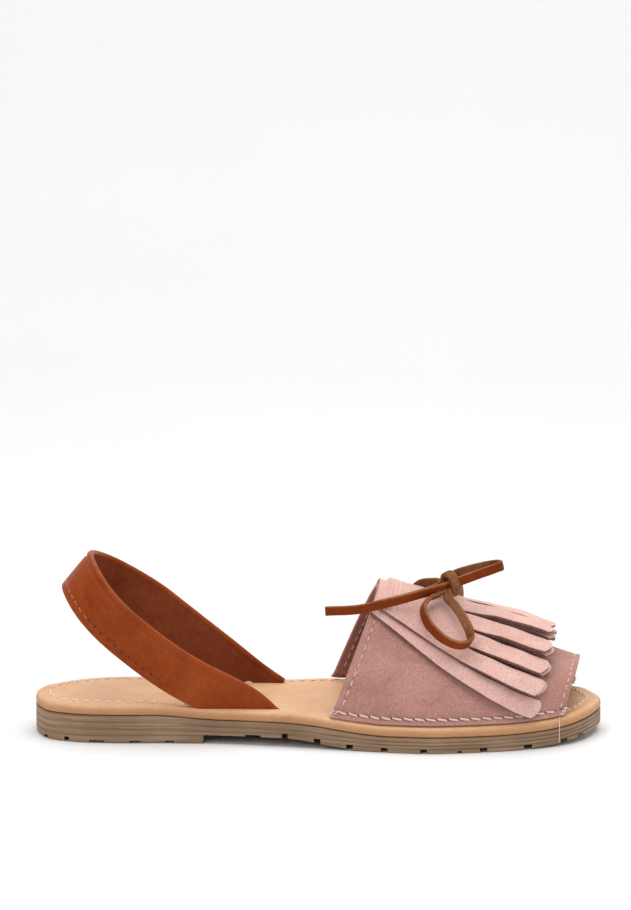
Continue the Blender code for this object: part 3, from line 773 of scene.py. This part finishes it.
def vamp_relief(run, foot, share):
    """Soft forms of the suede: flange, seam troughs and dents, outwards in metres."""
    back = run * VAMP_LONG
    front = (1 - run) * VAMP_LONG
    lift = 0.0009 * bell(foot, 0.0, 0.0019) - 0.00055 * bell(foot, THREAD_RISE, 0.0010)
    lift -= 0.00030 * bell(back, HEM_BACK, 0.0007)
    lift -= 0.00030 * bell(front, HEM_FRONT, 0.0006)
    lift += 0.00022 * bell(back, 0.0012, 0.0013) + 0.00025 * bell(front, 0.0008, 0.0011)
    calm = min(1.0, min(back, front, foot * 1.5) / 0.014)
    wave = math.sin(7.3 * run + 11.0 * share) + 0.7 * math.sin(13.0 * run - 17.0 * share + 1.3)
    wave += 0.5 * math.sin(23.0 * run + 5.0 * share + 2.1)
    lift += 0.00022 * wave * calm
    lift += 0.00010 * math.sin(2 * math.pi * share * 28.0) * bell(back, HEM_BACK, 0.0022)
    lift += 0.00045 * bell(run, 0.86, 0.06) * bell(share, 0.16, 0.10)
    return lift


def build_vamp_skin():
    half = VAMP_THICK / 2
    loop = []
    edge = half / VAMP_LONG
    for t in np.linspace(0.0, 1.0, 111):
        loop.append((edge + (1 - 2 * edge) * t, 0.0))
    for turn in np.linspace(0.0, math.pi, 9)[1:-1]:
        loop.append((1 - edge + edge * math.sin(turn), -half + half * math.cos(turn)))
    for t in np.linspace(1.0, 0.0, 111):
        loop.append((edge + (1 - 2 * edge) * t, -VAMP_THICK))
    for turn in np.linspace(0.0, math.pi, 9)[1:-1]:
        loop.append((edge - edge * math.sin(turn), -half - half * math.cos(turn)))
    shares = np.unique(np.concatenate([np.linspace(0.0, 0.05, 15), np.linspace(0.05, 0.95, 150),
                                       np.linspace(0.95, 1.0, 15)]))
    verts = []
    for run, out in loop:
        sec = vamp_section(run)
        arc = section_length(sec)
        phis = section_angles(sec, shares)
        for n, (share, phi) in enumerate(zip(shares, phis)):
            foot = min(share, 1 - share) * arc
            closed = n in (0, len(shares) - 1)
            off = -half if closed else out
            verts.append(section_point(sec, phi, off + vamp_relief(run, foot, share)))
    wide = len(shares)
    faces = []
    index = []
    for i in range(len(loop)):
        j = (i + 1) % len(loop)
        for k in range(wide - 1):
            faces.append((i * wide + k, i * wide + k + 1, j * wide + k + 1, j * wide + k))
            # Inside face: the darker inside look, partly painted shade.
            inner = 111 + 7 <= i < 111 + 7 + 110
            rim = 110 <= i < 111 + 7 or i >= 111 + 7 + 110
            index.append(1 if inner else 2 if rim else 0)
    return piece("vamp_skin", verts, faces, [SUEDE, SUEDE_IN, SUEDE], index, "vamp")


build_vamp_skin()

# Across each strip: columns, and how much of the thickness the cut edge loses there
ACROSS = (0.0, 0.03, 0.07, 0.14, 0.25, 0.38, 0.50, 0.62, 0.75, 0.86, 0.93, 0.97, 1.0)
EDGE_DROP = (0.16, 0.05, 0.01, 0.0, 0.0, 0.0, 0.0, 0.0, 0.0, 0.0, 0.01, 0.05, 0.16)

# Rows of the free part of the strips, as levels from FREE_FROM on
FREE_FROM = 0.50
FREE_SPAN = 0.36
FREE_ROWS = 44
RAW_EDGES = []


def limited(value):
    return min(max(value, 0.0), 1.0)


def throat_folds(run):
    """Hem ridges side by side where the layers fold over at the throat."""
    lift = 0.0
    for at, high in ((0.046, 0.45), (0.062, 0.50), (0.078, 0.42), (0.100, 0.25)):
        lift += 0.001 * high * bell(run, at, 0.0042)
    behind = limited((0.040 - run) / 0.006)
    return lift - 0.0013 * behind * behind * (3 - 2 * behind)


def fringe_levels(first, last):
    folded = list(np.linspace(0.0, 0.13, 53))
    joined = list(np.linspace(0.14, 0.36, 20))
    starts = [SLIT_STARTS[k] for k in range(first, last)]
    levels = sorted(set(folded + joined + starts))
    return levels + [FREE_FROM + FREE_SPAN * k / FREE_ROWS for k in range(FREE_ROWS + 1)]


def strip_run(level, strip, across, longer):
    """Run of a level, stretched so that the last level follows the shape of the tip."""
    if level <= FREE_FROM:
        return level
    tip = STRIPS[strip][1] * KILTIE_REACH + longer
    back = float(np.interp(across, column(TIP_SHAPE, 0), column(TIP_SHAPE, 1)))
    return FREE_FROM + (level - FREE_FROM) / FREE_SPAN * (tip - back - FREE_FROM)


def strip_sway(strip, across, run):
    """Soft waves that keep the loose strips from lying dead flat."""
    free = limited((run - 0.42) / 0.12)
    lift = 0.0008 * math.sin(math.pi * limited((run - 0.42) / 0.46))
    lift += 0.00016 * math.sin(31.0 * run + 2.4 * strip) * free
    return lift + 0.00020 * math.sin(2.6 * strip + 9.0 * run) * (across - 0.5) * free


def build_fringe(name, node, first, last, seat, lift_share, longer, shift, folds):
    """One layer: strips first to last joined at the throat, with rounded raw edges."""
    cells = [(strip, n) for strip in range(first, last + 1) for n in range(len(ACROSS))]
    levels = fringe_levels(first, last)
    verts = [[], []]
    for level in levels:
        for strip, n in cells:
            across = ACROSS[n]
            run = strip_run(level, strip, across, longer)
            lo = kiltie_share(strip, run) + (shift if strip > 0 else 0.0)
            hi = kiltie_share(strip + 1, run) + (shift if strip < 8 else 0.0)
            sec = vamp_section(run)
            arc = section_length(sec)
            free_low = strip == first or run > SLIT_STARTS[strip - 1]
            free_high = strip == last or run > SLIT_STARTS[strip]
            if strip > first and free_low:
                lo += SLIT_WIDTH / 2 / arc
            if strip < last and free_high:
                hi -= SLIT_WIDTH / 2 / arc
            wobble = 0.0004 * limited((run - 0.15) / 0.2)
            lo += wobble * math.sin(47.0 * run + 1.9 * strip)
            hi += wobble * math.sin(47.0 * run + 1.9 * (strip + 1))
            share = lo + (hi - lo) * across
            phi = float(section_angles(sec, [share])[0])
            out = seat + lift_share * kiltie_rise(strip, across, run)
            out += folds * throat_folds(run) + strip_sway(strip, across, run)
            drop = EDGE_DROP[n] if (free_low if n < 6 else free_high) else 0.0
            if level > FREE_FROM:
                end = max(0.0, 1 - (FREE_FROM + FREE_SPAN - level) / 0.012)
                drop = max(drop, EDGE_DROP[0] * end)
            verts[0].append(section_point(sec, phi, out + KILTIE_THICK * (1 - drop)))
            verts[1].append(section_point(sec, phi, out + KILTIE_THICK * drop * 0.6))
    rows = len(levels)
    cols = len(cells)
    wide = len(ACROSS)
    solid = np.ones((rows - 1, cols - 1), bool)
    for j in range(wide - 1, cols - 1, wide):
        for i in range(rows - 1):
            solid[i, j] = levels[i + 1] <= SLIT_STARTS[first + j // wide] + 1e-6
    faces = []
    index = []
    low = rows * cols

    def add(kind, *corners):
        faces.append(corners)
        index.append(kind)

    for i in range(rows - 1):
        for j in range(cols - 1):
            if not solid[i, j]:
                continue
            a, b, c, d = i * cols + j, i * cols + j + 1, (i + 1) * cols + j + 1, (i + 1) * cols + j
            # The outermost top faces along a free edge take the darker edge look: cut edge colour
            # and painted shade along the edge.
            rim = j % wide == 0 and (j == 0 or not solid[i, j - 1])
            rim = rim or j % wide == wide - 2 and (j == cols - 2 or not solid[i, j + 1])
            add(1 if rim else 0, a, b, c, d)
            # Underside in the darker edge look: painted shade under the strip.
            add(1, low + a, low + d, low + c, low + b)
            if i == 0 or not solid[i - 1, j]:
                add(1, a, low + a, low + b, b)
            if i == rows - 2 or not solid[i + 1, j]:
                add(1, d, c, low + c, low + d)
                RAW_EDGES.append((verts[0][d], verts[0][c], verts[1][d]))
            if j == 0 or not solid[i, j - 1]:
                add(1, a, d, low + d, low + a)
                RAW_EDGES.append((verts[0][a], verts[0][d], verts[1][a]))
            if j == cols - 2 or not solid[i, j + 1]:
                add(1, b, low + b, low + c, c)
                RAW_EDGES.append((verts[0][b], verts[0][c], verts[1][b]))
    return piece(name, verts[0] + verts[1], faces, [PALE, RAW_EDGE_AND_SHADE], index, node, 55.0)


build_fringe("kiltie_under_skin", "kiltie_under", 0, 8, FIT_GAP + 0.0002, 0.82, 0.016, 0.006, 0.0)
build_fringe("kiltie_top_skin", "kiltie_top", 1, 7, 2 * FIT_GAP + KILTIE_THICK + 0.0002,
             1.0, 0.0, 0.0, 1.0)


# Half the width of a loose fibre at its root
FIBRE_WIDTH = 0.00004


def build_vamp_nap():
    """Loose fibres round the cut edges of the upper, in the paler kiltie suede: the fibres are
    real, their paler colour is a painted highlight on the nap.
    """
    rng = np.random.RandomState(5)
    nap = Bits()
    for number in range(5200):
        run = 0.0 if number % 2 else 1.0
        sec = vamp_section(run)
        share = rng.uniform(0.01, 0.99)
        phi = float(section_angles(sec, [share])[0])
        out = -VAMP_THICK * rng.rand() ** 1.5
        at = np.array(section_point(sec, phi, out + vamp_relief(run, 0.02, share)))
        ahead = np.array(section_point(vamp_section(abs(run - 0.02)), phi, out))
        way = (at - ahead) / np.linalg.norm(at - ahead) + rng.normal(0.0, 0.7, 3)
        way *= rng.uniform(0.0002, 0.0006) / max(np.linalg.norm(way), 1e-9)
        nap.fibre(at - way * 0.2, way, FIBRE_WIDTH)
    nap.make("vamp_edge_nap", PALE)


build_vamp_nap()


def build_edge_nap():
    """Loose fibres along the raw edges of the strips."""
    rng = np.random.RandomState(11)
    nap = Bits()
    picks = rng.randint(0, len(RAW_EDGES), 9000)
    for number in picks:
        a, b, under = (np.array(p) for p in RAW_EDGES[number])
        t = rng.rand()
        at = a + (b - a) * t + (under - a) * rng.rand()
        way = (a - under) + rng.normal(0.0, 0.0009, 3)
        way *= rng.uniform(0.00025, 0.0006) / max(np.linalg.norm(way), 1e-9)
        nap.fibre(at, way, FIBRE_WIDTH)
    nap.make("kiltie_edge_nap", PALE)


build_edge_nap()


# Strap: seam above the lower edge, trough under the rolled edge, spacing of the needle
STRAP_SEAM = 0.0034
STRAP_ROLL = 0.0031
STRAP_PITCH = 0.00415


def strap_profile():
    """Cross-section: lower raw edge, seam trough outside, full round rolled edge on top."""
    half = STRAP_WIDTH / 2
    deep = STRAP_THICK / 2
    low = 0.0005
    pts = []
    for u in np.linspace(-half + low, half - deep, 40):
        v = -deep + 0.00022 * bell(u, -half + STRAP_SEAM, 0.0006)
        v += 0.00048 * bell(u, half - STRAP_ROLL, 0.0008)
        v -= 0.00012 * (1 - (u / half) ** 2)
        pts.append((u, v, 0))
    for turn in np.linspace(-math.pi / 2, math.pi / 2, 12)[1:-1]:
        pts.append((half - deep + deep * math.cos(turn), deep * math.sin(turn), 0))
    for u in np.linspace(half - deep, -half + low, 30):
        pts.append((u, deep - 0.00015 * bell(u, half - 0.0030, 0.0010), 1))
    for turn in np.linspace(math.pi / 2, math.pi, 4)[1:]:
        pts.append((-half + low + low * math.cos(turn), deep - low + low * math.sin(turn), 2))
    for turn in np.linspace(math.pi, 1.5 * math.pi, 4)[:-1]:
        pts.append((-half + low + low * math.cos(turn), -deep + low + low * math.sin(turn), 2))
    return pts


def frames(path, widths):
    path = [Vector(p) for p in path]
    out = []
    for i, p in enumerate(path):
        along = (path[min(i + 1, len(path) - 1)] - path[max(i - 1, 0)]).normalized()
        up = Vector(widths[i])
        up = (up - along * up.dot(along)).normalized()
        out.append((p, along, up, along.cross(up)))
    return out


def finer(path, widths, times):
    both = spline([tuple(p) + tuple(w) for p, w in zip(path, widths)], times)
    return [tuple(r[:3]) for r in both], [tuple(r[3:]) for r in both]


def swept(name, path, widths, profile, mats, node, relief, level=None):
    rings = frames(path, widths)
    verts = []
    for i, (p, along, up, out) in enumerate(rings):
        for u, v, kind in profile:
            extra = relief(i / (len(rings) - 1), u, v, kind)
            verts.append(p + up * u + out * (v + extra))
    size = len(profile)
    faces = []
    index = []
    for i in range(len(rings) - 1):
        for k in range(size):
            m = (k + 1) % size
            faces.append((i * size + k, i * size + m, (i + 1) * size + m, (i + 1) * size + k))
            index.append(profile[k][2])
    faces.append(tuple(range(size)))
    faces.append(tuple((len(rings) - 1) * size + k for k in range(size)))
    index += [profile[-1][2], profile[-1][2]]
    if level is not None:
        low = min(v.z for v in verts)
        for v in verts:
            if v.z < level:
                v.z = level - 0.0001 * (level - v.z) / max(level - low, 1e-9)
    return piece(name, verts, faces, mats, index, node)


def strap_relief(share, u, v, kind):
    """Creases: soft troughs where the strap turns at the heel and bends into the slits."""
    lift = 0.0
    calm = 1 - (u / (STRAP_WIDTH / 2)) ** 2
    if kind == 0 and abs(u) < STRAP_WIDTH / 2 - 0.002:
        lift -= 0.00030 * calm * math.sin(19.0 * share + 90.0 * u)
        lift += 0.00025 * calm * bell(share - 3.0 * u, 0.53, 0.020)
        lift += 0.00020 * calm * bell(share + 4.0 * u, 0.37, 0.024)
    if kind == 1:
        for at, wide in ((0.835, 0.010), (0.870, 0.008), (0.902, 0.009), (0.150, 0.010),
                         (0.110, 0.009)):
            lift += 0.00042 * calm * bell(share + 2.2 * u, at, wide)
        lift += 0.00025 * calm * math.sin(41.0 * share + 160.0 * u)
    return lift


def build_strap_skin():
    path, widths = strap_path()
    path, widths = finer(path, widths, 4)
    level = float(bed_z(STRAP_FOOT / SOLE_LENGTH)) - STRAP_SUNK
    swept("heel_strap_skin", path, widths, strap_profile(), [GRAIN, GRAIN_IN, CUT], "heel_strap",
          strap_relief, level)
    rings = frames(path, widths)
    half = STRAP_WIDTH / 2
    deep = STRAP_THICK / 2
    seam = []
    ways = []
    for p, along, up, out in rings:
        at = p + up * (-half + STRAP_SEAM) + out * (-deep + 0.0001)
        if at.z > level + STRAP_SUNK + 0.0015:
            seam.append(tuple(at))
            ways.append(tuple(-out))
    holes = Bits()
    thread = Bits()
    at, total = walk(seam, ways)
    place = 0.002
    while place < total:
        p, n = at(place)
        q, _ = at(place + 0.0004)
        holes.disc(p + n * 0.00006, n, 0.00042, 1.3, q - p)
        place += STRAP_PITCH
    stitches(thread, None, (seam, ways), STRAP_PITCH, 0.0030, 0.00022, 0.7, 0.0004,
             total * 0.33 + 0.0006, total * 0.80)
    holes.make("strap_pinholes", HOLE)
    thread.make("strap_seam_thread", ORANGE_THREAD)


build_strap_skin()


def lace_profile(grain):
    """Flat thong: smooth grain face, rough flesh face, paler cut edges with round corners."""
    half = LACE_WIDTH / 2
    deep = LACE_THICK / 2
    soft = 0.0004
    pts = []
    for way, kind, first in ((1, 0 if grain > 0 else 1, 90), (-1, 1 if grain > 0 else 0, 270)):
        for u in np.linspace(way * (soft - half), way * (half - soft), 7)[:-1]:
            pts.append((u, way * (deep + 0.00008 * (1 - (u / half) ** 2)), kind))
        for n in range(6):
            a = math.radians(first - 30 * n)
            level = (deep - soft) * (way if n < 3 else -way)
            pts.append((way * (half - soft) + soft * math.cos(a), level + soft * math.sin(a),
                        2 if n else kind))
    return pts


def lace_relief(share, u, v, kind):
    if kind == 1:
        return 0.00007 * math.sin(900.0 * u + 70.0 * share) * (1 if v > 0 else -1)
    return 0.0


# Bow over the vamp: run, share of the arc, out as a share of BOW_RISE, then the direction
# across the thong.
TAIL_PATH = (
    # run, share, out, width x, width y, width z
    (0.306, 0.452, 1.340, 0.10, -0.25, 0.95),
    (0.262, 0.430, 1.215, 0.10, -0.25, 0.95),
    (0.233, 0.419, 1.130, 0.10, -0.25, 0.95),
    (0.150, 0.387, 0.930, 0.05, -0.20, 0.97),
    (0.049, 0.361, 0.631, 0.00, -0.10, 1.00),
    (-0.050, 0.343, 0.387, 0.00, -0.05, 1.00),
    (-0.189, 0.337, 0.337, 0.00, 0.00, 1.00),
)
FRONT_LOOP = (
    # run, share, out, width x, width y, width z
    (0.290, 0.444, 1.300, -0.20, -0.10, 0.97),
    (0.326, 0.447, 1.600, -0.20, -0.10, 0.97),
    (0.405, 0.450, 2.250, -0.22, -0.10, 0.97),
    (0.468, 0.457, 2.700, -0.22, -0.05, 0.97),
    (0.494, 0.473, 2.790, -0.22, 0.00, 0.97),
    (0.468, 0.489, 2.640, -0.22, 0.05, 0.97),
    (0.400, 0.493, 2.220, -0.22, 0.05, 0.97),
    (0.330, 0.489, 1.760, -0.20, 0.00, 0.97),
    (0.292, 0.480, 1.480, -0.20, 0.00, 0.97),
)
NEAR_LOOP = (
    # run, share, out, width x, width y, width z
    (0.282, 0.440, 1.060, 0.55, -0.55, 0.60),
    (0.256, 0.422, 0.900, 0.55, -0.55, 0.60),
    (0.226, 0.398, 0.900, 0.45, -0.70, 0.55),
    (0.212, 0.357, 0.900, 0.45, -0.70, 0.55),
    (0.246, 0.318, 0.860, 0.70, -0.48, 0.52),
    (0.295, 0.293, 0.810, 0.58, -0.44, 0.66),
    (0.351, 0.273, 0.800, 0.48, -0.42, 0.76),
    (0.406, 0.262, 0.820, 0.38, -0.44, 0.80),
    (0.446, 0.263, 0.880, 0.24, -0.50, 0.82),
    (0.468, 0.277, 0.980, 0.40, -0.58, 0.70),
    (0.452, 0.304, 1.060, 0.75, -0.45, 0.48),
    (0.412, 0.339, 1.100, 0.86, -0.25, 0.45),
    (0.356, 0.383, 1.080, 0.86, -0.20, 0.45),
    (0.312, 0.412, 1.030, 0.86, -0.20, 0.45),
    (0.292, 0.436, 1.120, 0.86, -0.20, 0.45),
)
FAR_END = (
    # run, share, out, width x, width y, width z
    (0.292, 0.474, 1.300, 0.30, 0.10, 0.90),
    (0.300, 0.496, 1.320, 0.30, 0.15, 0.90),
    (0.318, 0.535, 1.140, 0.40, 0.30, 0.80),
    (0.345, 0.590, 0.980, 0.60, 0.40, 0.60),
    (0.368, 0.645, 0.860, 0.75, 0.40, 0.45),
    (0.388, 0.700, 0.760, 0.85, 0.35, 0.35),
    (0.404, 0.750, 0.690, 0.88, 0.35, 0.30),
)
CROSSING = (
    # run, share, out, width x, width y, width z
    (0.190, 0.456, 0.260, -0.35, -0.10, 0.93),
    (0.198, 0.456, 0.460, -0.35, -0.10, 0.93),
    (0.220, 0.458, 0.660, -0.35, -0.05, 0.93),
    (0.250, 0.468, 0.860, -0.30, 0.00, 0.95),
    (0.262, 0.486, 0.930, -0.30, 0.00, 0.95),
    (0.246, 0.504, 0.860, -0.30, 0.00, 0.95),
    (0.214, 0.524, 0.680, -0.35, 0.05, 0.93),
    (0.184, 0.546, 0.500, -0.35, 0.15, 0.90),
    (0.168, 0.560, 0.280, -0.35, 0.15, 0.90),
)
KNOT_AT = (0.295, 0.455, 1.360)
KNOT_AXIS = (0.72, 0.60, 0.26)

# Turn of the thong round the bow: first angle and whole turn in degrees, radius, how much
# the overlapping end stands out, and the drift along the axis
KNOT_START = 228.0
KNOT_TURN = 418.0
KNOT_REACH = 0.0041
KNOT_OVERLAP = 0.0011
KNOT_DRIFT = 0.0011


def lace(name, node, table, grain, steps):
    rows = spline(table, steps)
    path = [over_vamp(*row[:3]) for row in rows]
    widths = [tuple(row[3:]) for row in rows]
    obj = swept(name, path, widths, lace_profile(grain), [THONG, FLESH, CUT], node, lace_relief)
    return obj, path


lace("lace_crossing_skin", "lace_crossing", CROSSING, 1, 8)


def build_knot_ring():
    """The thong's turn round the bow: one flat band, flesh side out."""
    center = Vector(over_vamp(*KNOT_AT))
    axis = Vector(KNOT_AXIS).normalized()
    side = axis.cross(Vector((0, 0, 1))).normalized()
    up = side.cross(axis)
    path = []
    widths = []
    for t in np.linspace(0.0, 1.0, 61):
        turn = math.radians(KNOT_START + KNOT_TURN * t)
        reach = KNOT_REACH + KNOT_OVERLAP * max(0.0, (t - 0.80) / 0.20)
        spot = center + (side * math.cos(turn) + up * math.sin(turn) * 1.10) * reach
        spot += axis * (KNOT_DRIFT * (t - 0.5))
        path.append(tuple(spot))
        widths.append(tuple(axis))
    obj = swept("lace_knot_skin", path, widths, lace_profile(1), [THONG, FLESH, CUT],
                "lace_knot", lace_relief)


build_knot_ring()
BOW = (
    # piece, node, table, grain side, far end
    ("lace_end_back_skin", "lace_end_back", TAIL_PATH, -1, "bare"),
    ("lace_end_far_skin", "lace_end_far", FAR_END, 1, "bare"),
    ("lace_loop_front_skin", "lace_loop_front", FRONT_LOOP, 1, "object"),
    ("lace_loop_near_skin", "lace_loop_near", NEAR_LOOP, 1, "object"),
)
for name, node, table, grain, far_end in BOW:
    obj, path = lace(name, node, table, grain, 6)


def build_vamp_seams():
    thread = Bits()
    holes = Bits()
    back = HEM_BACK / VAMP_LONG
    front = 1 - HEM_FRONT / VAMP_LONG
    for side in (0, 1):
        for out, flip in ((-0.0002, 1), (-VAMP_THICK - 0.0003, -1)):
            for run, low, high in ((back, 0.035, 0.480), (front, 0.035, 0.500)):
                line = out_line(lambda t: run,
                                lambda t, sec: abs(side - (low + (high - low) * t)), out)
                ways = [w * flip for w in line[1]]
                stitches(thread, holes, (line[0], ways), HEM_PITCH, HEM_DASH,
                         0.00025 if flip > 0 else 0.00021, 0.8, 0.0, 0.001, None, 0.00036)
    thick = Bits()
    for side in (0, 1):
        line = out_line(lambda t: 0.016 + 0.968 * t,
                        lambda t, sec: abs(side - THREAD_RISE / section_length(sec)), -0.0002, 160)
        stitches(thick, holes, line, SOLE_PITCH, SOLE_DASH, 0.00046, 0.75, 0.0008 * (1 - 2 * side),
                 0.0004, None, 0.0005)
        for run in (0.006, 0.992):
            sec = vamp_section(run)
            for n, rise in enumerate((0.0010, 0.0021, 0.0032)):
                ends = []
                for step, out in ((-0.014, -0.0010), (-0.006, 0.0006), (0.0, 0.0011),
                                  (0.006, 0.0008), (0.013, -0.0010)):
                    spot = vamp_section(min(max(run + step + 0.004 * n, -0.006), 1.006))
                    phi = float(section_angles(spot, [abs(side - rise / section_length(spot))])[0])
                    ends.append(section_point(spot, phi, out))
                thick.tube(ends, [0.0003, 0.0005, 0.00052, 0.0005, 0.0003])
    thread.make("vamp_hem_thread", PINK_THREAD)
    holes.make("vamp_needle_holes", RAW_EDGE_AND_SHADE)
    thick.make("vamp_sole_thread", PINK_THREAD)


build_vamp_seams()


# Seam of the footbed, where it is left out on the lateral side, the thread down the side
# near the toe, and a small dark mark at the heel
BED_SEAM_INSET = 0.0064
BED_PITCH = 0.0050
BED_DASH = 0.0037
BED_SEAM_GAP = (0.395, 0.53)
SIDE_THREAD_ALONG = 0.9262
BED_MARK = (-0.1038, -0.0045)


def build_footbed_seam():
    thread = Bits()
    holes = Bits()
    ring = outline_ring(BED_SEAM_INSET)
    ring = np.vstack([ring, ring[:1]])
    lateral = STATIONS
    spans = []
    alongs = along_of(ring[:, 0])
    part = [i for i in range(lateral + 1) if alongs[i] < BED_SEAM_GAP[0]]
    spans.append(ring[part])
    part = [i for i in range(lateral + 1) if alongs[i] > BED_SEAM_GAP[1]]
    spans.append(np.vstack([ring[part], ring[lateral + 1:]]))
    for span in spans:
        z = bed_z(along_of(span[:, 0])) - 0.00005
        pts = np.column_stack([span, z])
        ways = np.tile((0.0, 0.0, 1.0), (len(pts), 1))
        stitches(thread, holes, (pts, ways), BED_PITCH, BED_DASH, 0.00042, 0.9, 0.0, 0.001, None,
                 0.00024)
    side = []
    x = float(x_of(SIDE_THREAD_ALONG))
    y = float(side_y(0, SIDE_THREAD_ALONG))
    top = float(bed_z(SIDE_THREAD_ALONG))
    for inset, z in ((0.0040, 0.0002), (0.0024, 0.0001), (0.0012, -0.0005), (0.0003, -0.0015),
                     (-0.0001, -0.0035), (-0.0001, -0.0049), (-0.0002, -0.0080),
                     (-0.0002, -0.0112)):
        side.append((x, y + inset, top + z))
    thread.tube(side, [0.00017] * len(side), 6)
    thread.make("footbed_thread", BED_THREAD)
    z = float(bed_z(along_of(BED_MARK[0])))
    holes.disc((*BED_MARK, z + 0.00005), (0, 0, 1), 0.00045, 1.0, (1, 0, 0))
    holes.make("footbed_needle_holes", HOLE)


build_footbed_seam()


def make_stage():
    mesh = bpy.data.meshes.new("studio_floor")
    rows = []
    for t in np.linspace(0.0, 1.0, 40):
        y = -6.0 + 9.0 * t
        z = 0.0
        if y > 1.2:
            z = (y - 1.2) ** 2 * 0.9
        rows.append((y, z))
    verts = []
    for y, z in rows:
        verts += [(-5.0, y, z), (5.0, y, z)]
    faces = [(2 * i, 2 * i + 1, 2 * i + 3, 2 * i + 2) for i in range(len(rows) - 1)]
    mesh.from_pydata(verts, [], faces)
    look = Look("studio_floor_look", 0.9, Specular_IOR_Level=0.1)
    look.color(look.ramp(look.noise(2.0), (0.3, 0.80), (0.7, 0.82)))
    mesh.materials.append(look.mat)
    smooth(mesh, 180.0)
    floor = bpy.data.objects.new("studio_floor", mesh)
    bpy.context.scene.collection.objects.link(floor)


make_stage()


def area_light(name, at, aim, size, power):
    data = bpy.data.lights.new(name, "AREA")
    data.shape = "RECTANGLE"
    data.size, data.size_y = size
    data.energy = power
    lamp = bpy.data.objects.new(name, data)
    bpy.context.scene.collection.objects.link(lamp)
    lamp.location = at
    lamp.rotation_euler = (Vector(aim) - Vector(at)).to_track_quat("-Z", "Y").to_euler()


bpy.context.scene.view_settings.view_transform = "Standard"
world = bpy.data.worlds.new("studio_world")
bpy.context.scene.world = world
world.use_nodes = True
world.node_tree.nodes["Background"].inputs["Color"].default_value = (1.0, 1.0, 1.0, 1.0)
world.node_tree.nodes["Background"].inputs["Strength"].default_value = 0.50
area_light("softbox_top", (0.05, 0.10, 1.5), (0.0, 0.0, 0.0), (1.6, 1.4), 20.0)
area_light("softbox_front", (-0.75, -1.5, 0.95), (0.0, 0.0, 0.03), (0.9, 0.9), 7.0)
area_light("softbox_back", (0.0, 1.9, 3.2), (0.0, 3.5, 2.6), (3.0, 1.2), 110.0)
area_light("softbox_toe", (1.5, -0.4, 0.7), (0.03, 0.0, 0.03), (0.8, 0.8), 4.0)
